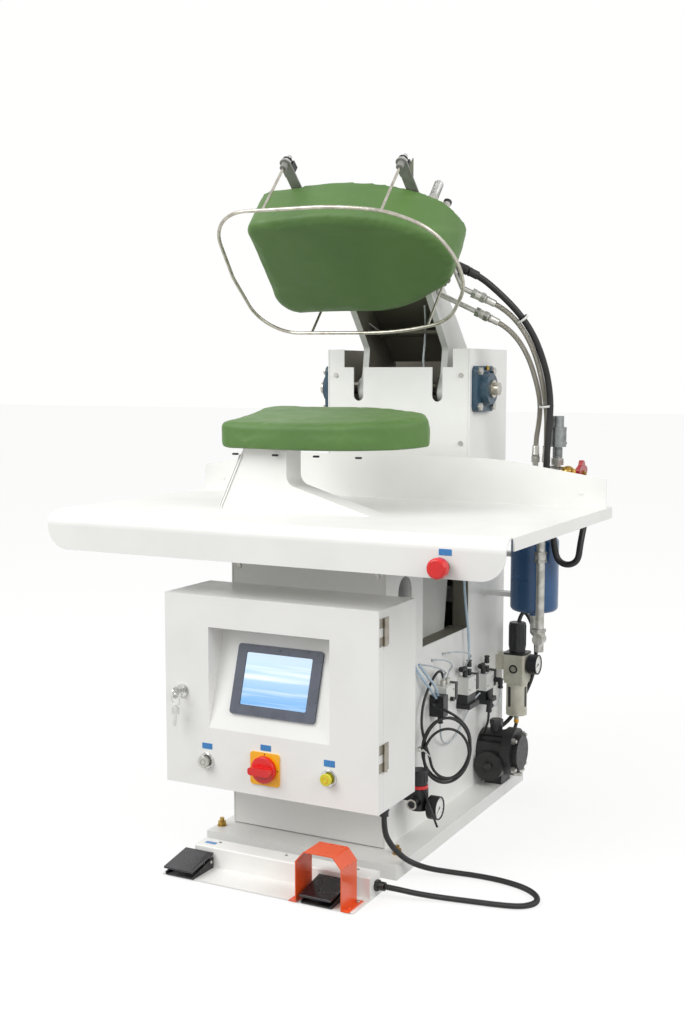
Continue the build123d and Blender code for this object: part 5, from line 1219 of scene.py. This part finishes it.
for tag, centre, way, long, radius, look in (
    ("trap_inlet", (222, 240, 172), UP, 12, 17, "iron"),
    ("trap_plug", (226, 174, 82), FRONT, 7, 11, "iron"),
    ("trap_vent", (246, 240, 152), (1, 0, 0.6), 12, 8, "iron"),
    ("trap_eye", (262, 222, 60), RIGHT, 34, 6, "zinc"),
    ("trap_eye_low", (262, 262, 60), RIGHT, 26, 5, "zinc"),
):
    turned_piece(
        tag, centre, way, [(0, radius), (long * 0.8, radius), (long, radius - 1.5)], look, "base",
        6 if "inlet" in tag or "plug" in tag else 24, False,
    )
for k in range(4):
    angle = math.radians(45 + 90 * k)
    spot = (282.3, TRAP_Y + TRAP_BOLTS * math.cos(angle), TRAP_Z + TRAP_BOLTS * math.sin(angle))
    turned_piece(f"trap_bolt_tip_{k}", spot, RIGHT, [(0, 4.6), (5, 4.6), (6, 3.8)], "zinc", "base", 20)


# Head: bushes, nuts, caps and screws round each guide rod

for i, (u, v) in enumerate(RODS):
    side = 1 if v < 0 else -1

    def at(a, b, c, u=u, v=v, side=side):
        return on_head(u + a, v + side * b, c)

    if i == 1:
        low, high = [[at(a, b, c) for b, c in ((12, 109), (40, 109), (14, 138))] for a in (11.5, 13.5)]
        prism(f"bracket_fin_{i}", low, high, "olive")
    way = head_axis(0, 0, 1)
    for tag, low, profile, look in (
        ("bush_flange", 118, washer(3.6, 10.5, 2.6), "clamp"),
        ("bush_nut", 109.2, washer(8.1, 12, 6), "chrome"),
    ):
        sides = 6 if tag == "bush_nut" else 28
        turned_piece(f"{tag}_{i}", at(0, 0, low), way, profile, look, "head_arm", sides, True)
    turned_piece(
        f"rod_cap_{i}", at(0, 0, 127.6), way, [(0, 3.4), (6, 3.4), (7, 2.4)], "chrome", "safety_ring", 20,
        False,
    )
    for a, b in ((-9, 22), (-9, 58), (7, 40)):
        profile = [(0, 4.6), (2.2, 4.6), (3.2, 3.2)]
        turned_piece(f"bracket_screw_{i}_{b}", at(a, b, 109), way, profile, "zinc", "head_arm", 18)

for i, (u, v) in enumerate(RODS[:2]):
    def on_switch(a, b, c, u=u, v=v):
        return on_head(u + a, v + b, c)

    way = head_axis(1, 0, 0)
    turned_piece(
        f"switch_roller_{i}", on_switch(-4, 5, 135.5), way, [(0, 4.2), (6, 4.2)], "chrome", "head_arm", 24,
        False,
    )
    slab_piece(
        f"switch_plate_{i}", [(-17, 12), (-14.2, 12), (-14.2, 38), (-17, 38)], 109, 140, on_switch, "zinc",
        "head_arm", 0.4,
    )
    turned_piece(
        f"switch_clamp_{i}", on_switch(-18, 24, 128), way, [(0, 6.5), (5, 6.5), (6, 5.5)], "chrome",
        "head_arm", 24, False,
    )
    turned_piece(
        f"switch_gland_{i}", on_switch(-4, 34, 122), head_axis(0, 1, 0),
        [(0, 5.5), (8, 5.5), (10, 3.6), (14, 3.2)], "black", "head_arm", 20,
    )

way = head_axis(0, 0, 1)
nipple_rings = [(0, 9.05)]
for k in range(9):
    nipple_rings += [(2 + k * 4.6, 9.1), (3 + k * 4.6, 10.6), (4.6 + k * 4.6, 10.6), (5.6 + k * 4.6, 9.1)]
turned_piece(
    "nipple_thread", on_head(185.5, -35, 124), way, nipple_rings, "chrome", "head_arm", 32, False,
)
turned_piece(
    "plug_head", on_head(204, -5, 134), way, [(0, 8.4), (2, 9.4), (7, 9.4), (9, 7)], "black", "head_arm", 24,
)


for tag, (before, end) in UNIONS.items():
    start, stop = Vector(on_head(*before)), Vector(on_head(*end))
    way = (stop - start).normalized()
    for k, (back, size) in enumerate(((34, 12.2), (12, 12.8))):
        turned_piece(
            f"union_{tag}_nut_{k}", stop - way * back, way, washer(9.9, size, 9), "gland", "head_arm", 6,
            True,
        )


# Arm: gusset and the tube along it

ARM_TUBE = ((60, 20, 1090), (56, 52, 1080), (52, 84, 1064), (50, 110, 1040), (50, 130, 1012), (50, 160, 1000))
line, real = even_points(spline_points("arm_tube", [closed_arm(*spot) for spot in ARM_TUBE]), 0.004)
tube = piece("arm_tube", tube_mesh("arm_tube", line, 2.6, 14), "clear_tube", "head_arm")
gusset = [closed_arm(*spot) for spot in ((-95.6, 60, 1075), (-95.6, 128, 1104), (-70, 96, 1080))]
prism("arm_gusset", gusset, [(x, y + 2, z + 2) for x, y, z in gusset], "arm")


# Bearings: grease nipples and ring faces

for side in (-1, 1):
    x = side * (COLUMN_SIDE + BEARING_FLANGE)
    turned_piece(
        f"grease_nipple_{side + 1}", (x + side * 4, SHAFT[0], 1037), UP,
        [(-2, 4.2), (4, 4.2), (4.5, 2.6), (7, 3.2), (9, 1.8)], "brass", "base", 16,
    )
    turned_piece(
        f"ring_face_{side + 1}", (side * 218.6, *SHAFT), (side, 0, 0), washer(15.2, 20.5, 0.9), "gland",
        "head_arm", 36, True,
    )
    turned_piece(
        f"shaft_centre_{side + 1}", (side * 235.9, *SHAFT), (side, 0, 0),
        [(0, 12.6), (0.5, 12.2), (0.5, 3), (-0.2, 0.4)], "zinc", "head_arm", 32, False,
    )


# Pedestal and table details

slab_piece(
    "pedestal_left_strip", [(-231, 733), (-221, 733), (-166, 852), (-176, 852)], 0.05, 1.6,
    facing_front(PEDESTAL_FRONT), "cream", "base", 0.5,
)
# Two thin black strips on the pedestal's edge strip: painted shade in its grooves.
for k, shift in enumerate((3, 9)):
    slab_piece(
        f"pedestal_groove_shade_{k}",
        [(-231 + shift, 735), (-230.2 + shift, 735), (-175.5 + shift, 851), (-176.3 + shift, 851)], 1.6, 1.85,
        facing_front(PEDESTAL_FRONT), "tick", "base", 0.02,
    )
for k, x in enumerate((-180, -80, 20, 120)):
    bm = bmesh.new()
    slab(bm, rounded(14, 7, 2, 3), -3.2, 0.2, lambda u, v, w, x=x: on_buck(x + u, -70 + v, -72 + w))
    piece(f"cover_clip_{k}", mesh_of(bm, f"clip_{k}"), "black", "base")
for x in (-470, 470):
    turned_piece(
        f"wall_screw_{x + 500}", (x, 95, 762), FRONT, [(0, 4), (1.6, 4), (2.4, 2.6)], "cream", "base", 18,
        False,
    )

box_piece("table_bracket_front", 300, 330, -30, 120, 700, 729, "iron")
box_piece("table_bracket_rear", 300, 460, 100, 122, 706, 729, "iron")
for k in range(4):
    turned_piece(
        f"table_bolt_{k}", (318 + 34 * k, 104, 704), DOWN, [(0, 6.4), (5, 6.4), (6, 5.4)], "zinc", "base", 6,
    )

for tag, low in (("low", 412), ("high", 594)):
    for k, step in enumerate((-3, 15)):
        turned_piece(
            f"drop_union_{tag}_{k}", (*DROP_PIPE, low + step), UP, washer(9.9, 15.5, 7), "gland", "base", 6,
            True,
        )
turned_piece("vent_band", (*VENT, 862), UP, washer(19.9, 21.6, 5), "vent", "base", 36, True)
turned_piece("vent_top_band", (*VENT, 896), UP, washer(19.6, 20.8, 4), "vent", "base", 36, True)
for k in range(6):
    turned_piece(
        f"vent_thread_{k}", (*VENT, 832 + k * 3.6), UP, [(0, 10.9), (0.6, 12.2), (1.8, 12.2), (2.4, 10.9)],
        "vent", "base", 28, True,
    )
turned_piece(
    "stem_nut", (436, 240, 795), RIGHT, [(-8.2, 4.2), (-8.2, 8), (-2, 8), (-2, 4.2)], "brass",
    "valve_handwheel", 6, True,
)


# Camera, light and floor

def aim(location, right, up, back):
    """Matrix of a camera from its place and its three axes."""
    axes = Matrix((right, up, back)).transposed().to_4x4()
    axes.translation = location
    return axes


camera_data = bpy.data.cameras.new("camera")
camera = bpy.data.objects.new("camera", camera_data)
scene.collection.objects.link(camera)
camera_data.sensor_width = SENSOR
camera_data.lens = FOCAL_PIXELS / PICTURE_HEIGHT * SENSOR
camera_data.clip_end = 60
AZIMUTH, PITCH = math.radians(27.57), math.radians(6.06)
ahead = Vector((-math.sin(AZIMUTH) * math.cos(PITCH), math.cos(AZIMUTH) * math.cos(PITCH), -math.sin(PITCH)))
right = Vector((math.cos(AZIMUTH), math.sin(AZIMUTH), 0))
camera.matrix_world = aim(point(1347.8, -2736.0, 1029.8), right, right.cross(ahead), -ahead)
scene.camera = camera


def seen_directly(tree):
    """1 for what the camera, a mirror or a glass sees directly, and 0 for soft light."""
    path = add_node(tree, "LightPath").outputs
    total = path["Is Camera Ray"]
    for ray in ("Is Glossy Ray", "Is Transmission Ray"):
        total = add_node(tree, "Math", {0: total, 1: path[ray]}, operation="MAXIMUM").outputs[0]
    return total


world = bpy.data.worlds.new("studio")
scene.world = world
world.use_nodes = True
tree = world.node_tree
ground = tree.nodes["Background"].inputs
ground["Color"].default_value = WHITE
strength = add_node(tree, "MapRange", {"Value": seen_directly(tree), "To Min": 0.8, "To Max": 1.0})
tree.links.new(strength.outputs[0], ground["Strength"])

floor_mesh = bpy.data.meshes.new("floor")
floor_mesh.from_pydata([(-30, -30, 0), (30, -30, 0), (30, 30, 0), (-30, 30, 0)], [], [(0, 1, 2, 3)])
floor = bpy.data.objects.new("floor", floor_mesh)
floor.location.z = -0.0005
scene.collection.objects.link(floor)
floor_mat = bpy.data.materials.new("studio_floor")
floor_mat.use_nodes = True
tree = floor_mat.node_tree
tree.nodes.remove(tree.nodes["Principled BSDF"])
diffuse = add_node(tree, "BsdfDiffuse", {"Color": (0.25, 0.25, 0.25, 1)})
level = add_node(tree, "Math", {0: seen_directly(tree), 1: 0.76}, operation="MULTIPLY")
shine = add_node(tree, "Emission", {"Color": WHITE, "Strength": level.outputs[0]})
both = add_node(tree, "AddShader", {0: diffuse.outputs[0], 1: shine.outputs[0]})
tree.links.new(both.outputs[0], tree.nodes["Material Output"].inputs["Surface"])
floor_mesh.materials.append(floor_mat)


def lamp(name, place, target, size, power):
    """Large soft area lamp aimed at a point."""
    data = bpy.data.lights.new(name, "AREA")
    data.shape = "SQUARE"
    data.size = size
    data.energy = power
    obj = bpy.data.objects.new(name, data)
    scene.collection.objects.link(obj)
    obj.location = place
    obj.rotation_euler = (Vector(target) - Vector(place)).to_track_quat("-Z", "Y").to_euler()


lamp("key", (-1.8, -3.0, 3.4), (0, 0, 0.8), 2.6, 95)
lamp("fill", (3.6, -1.2, 2.6), (0, 0, 0.8), 2.2, 58)
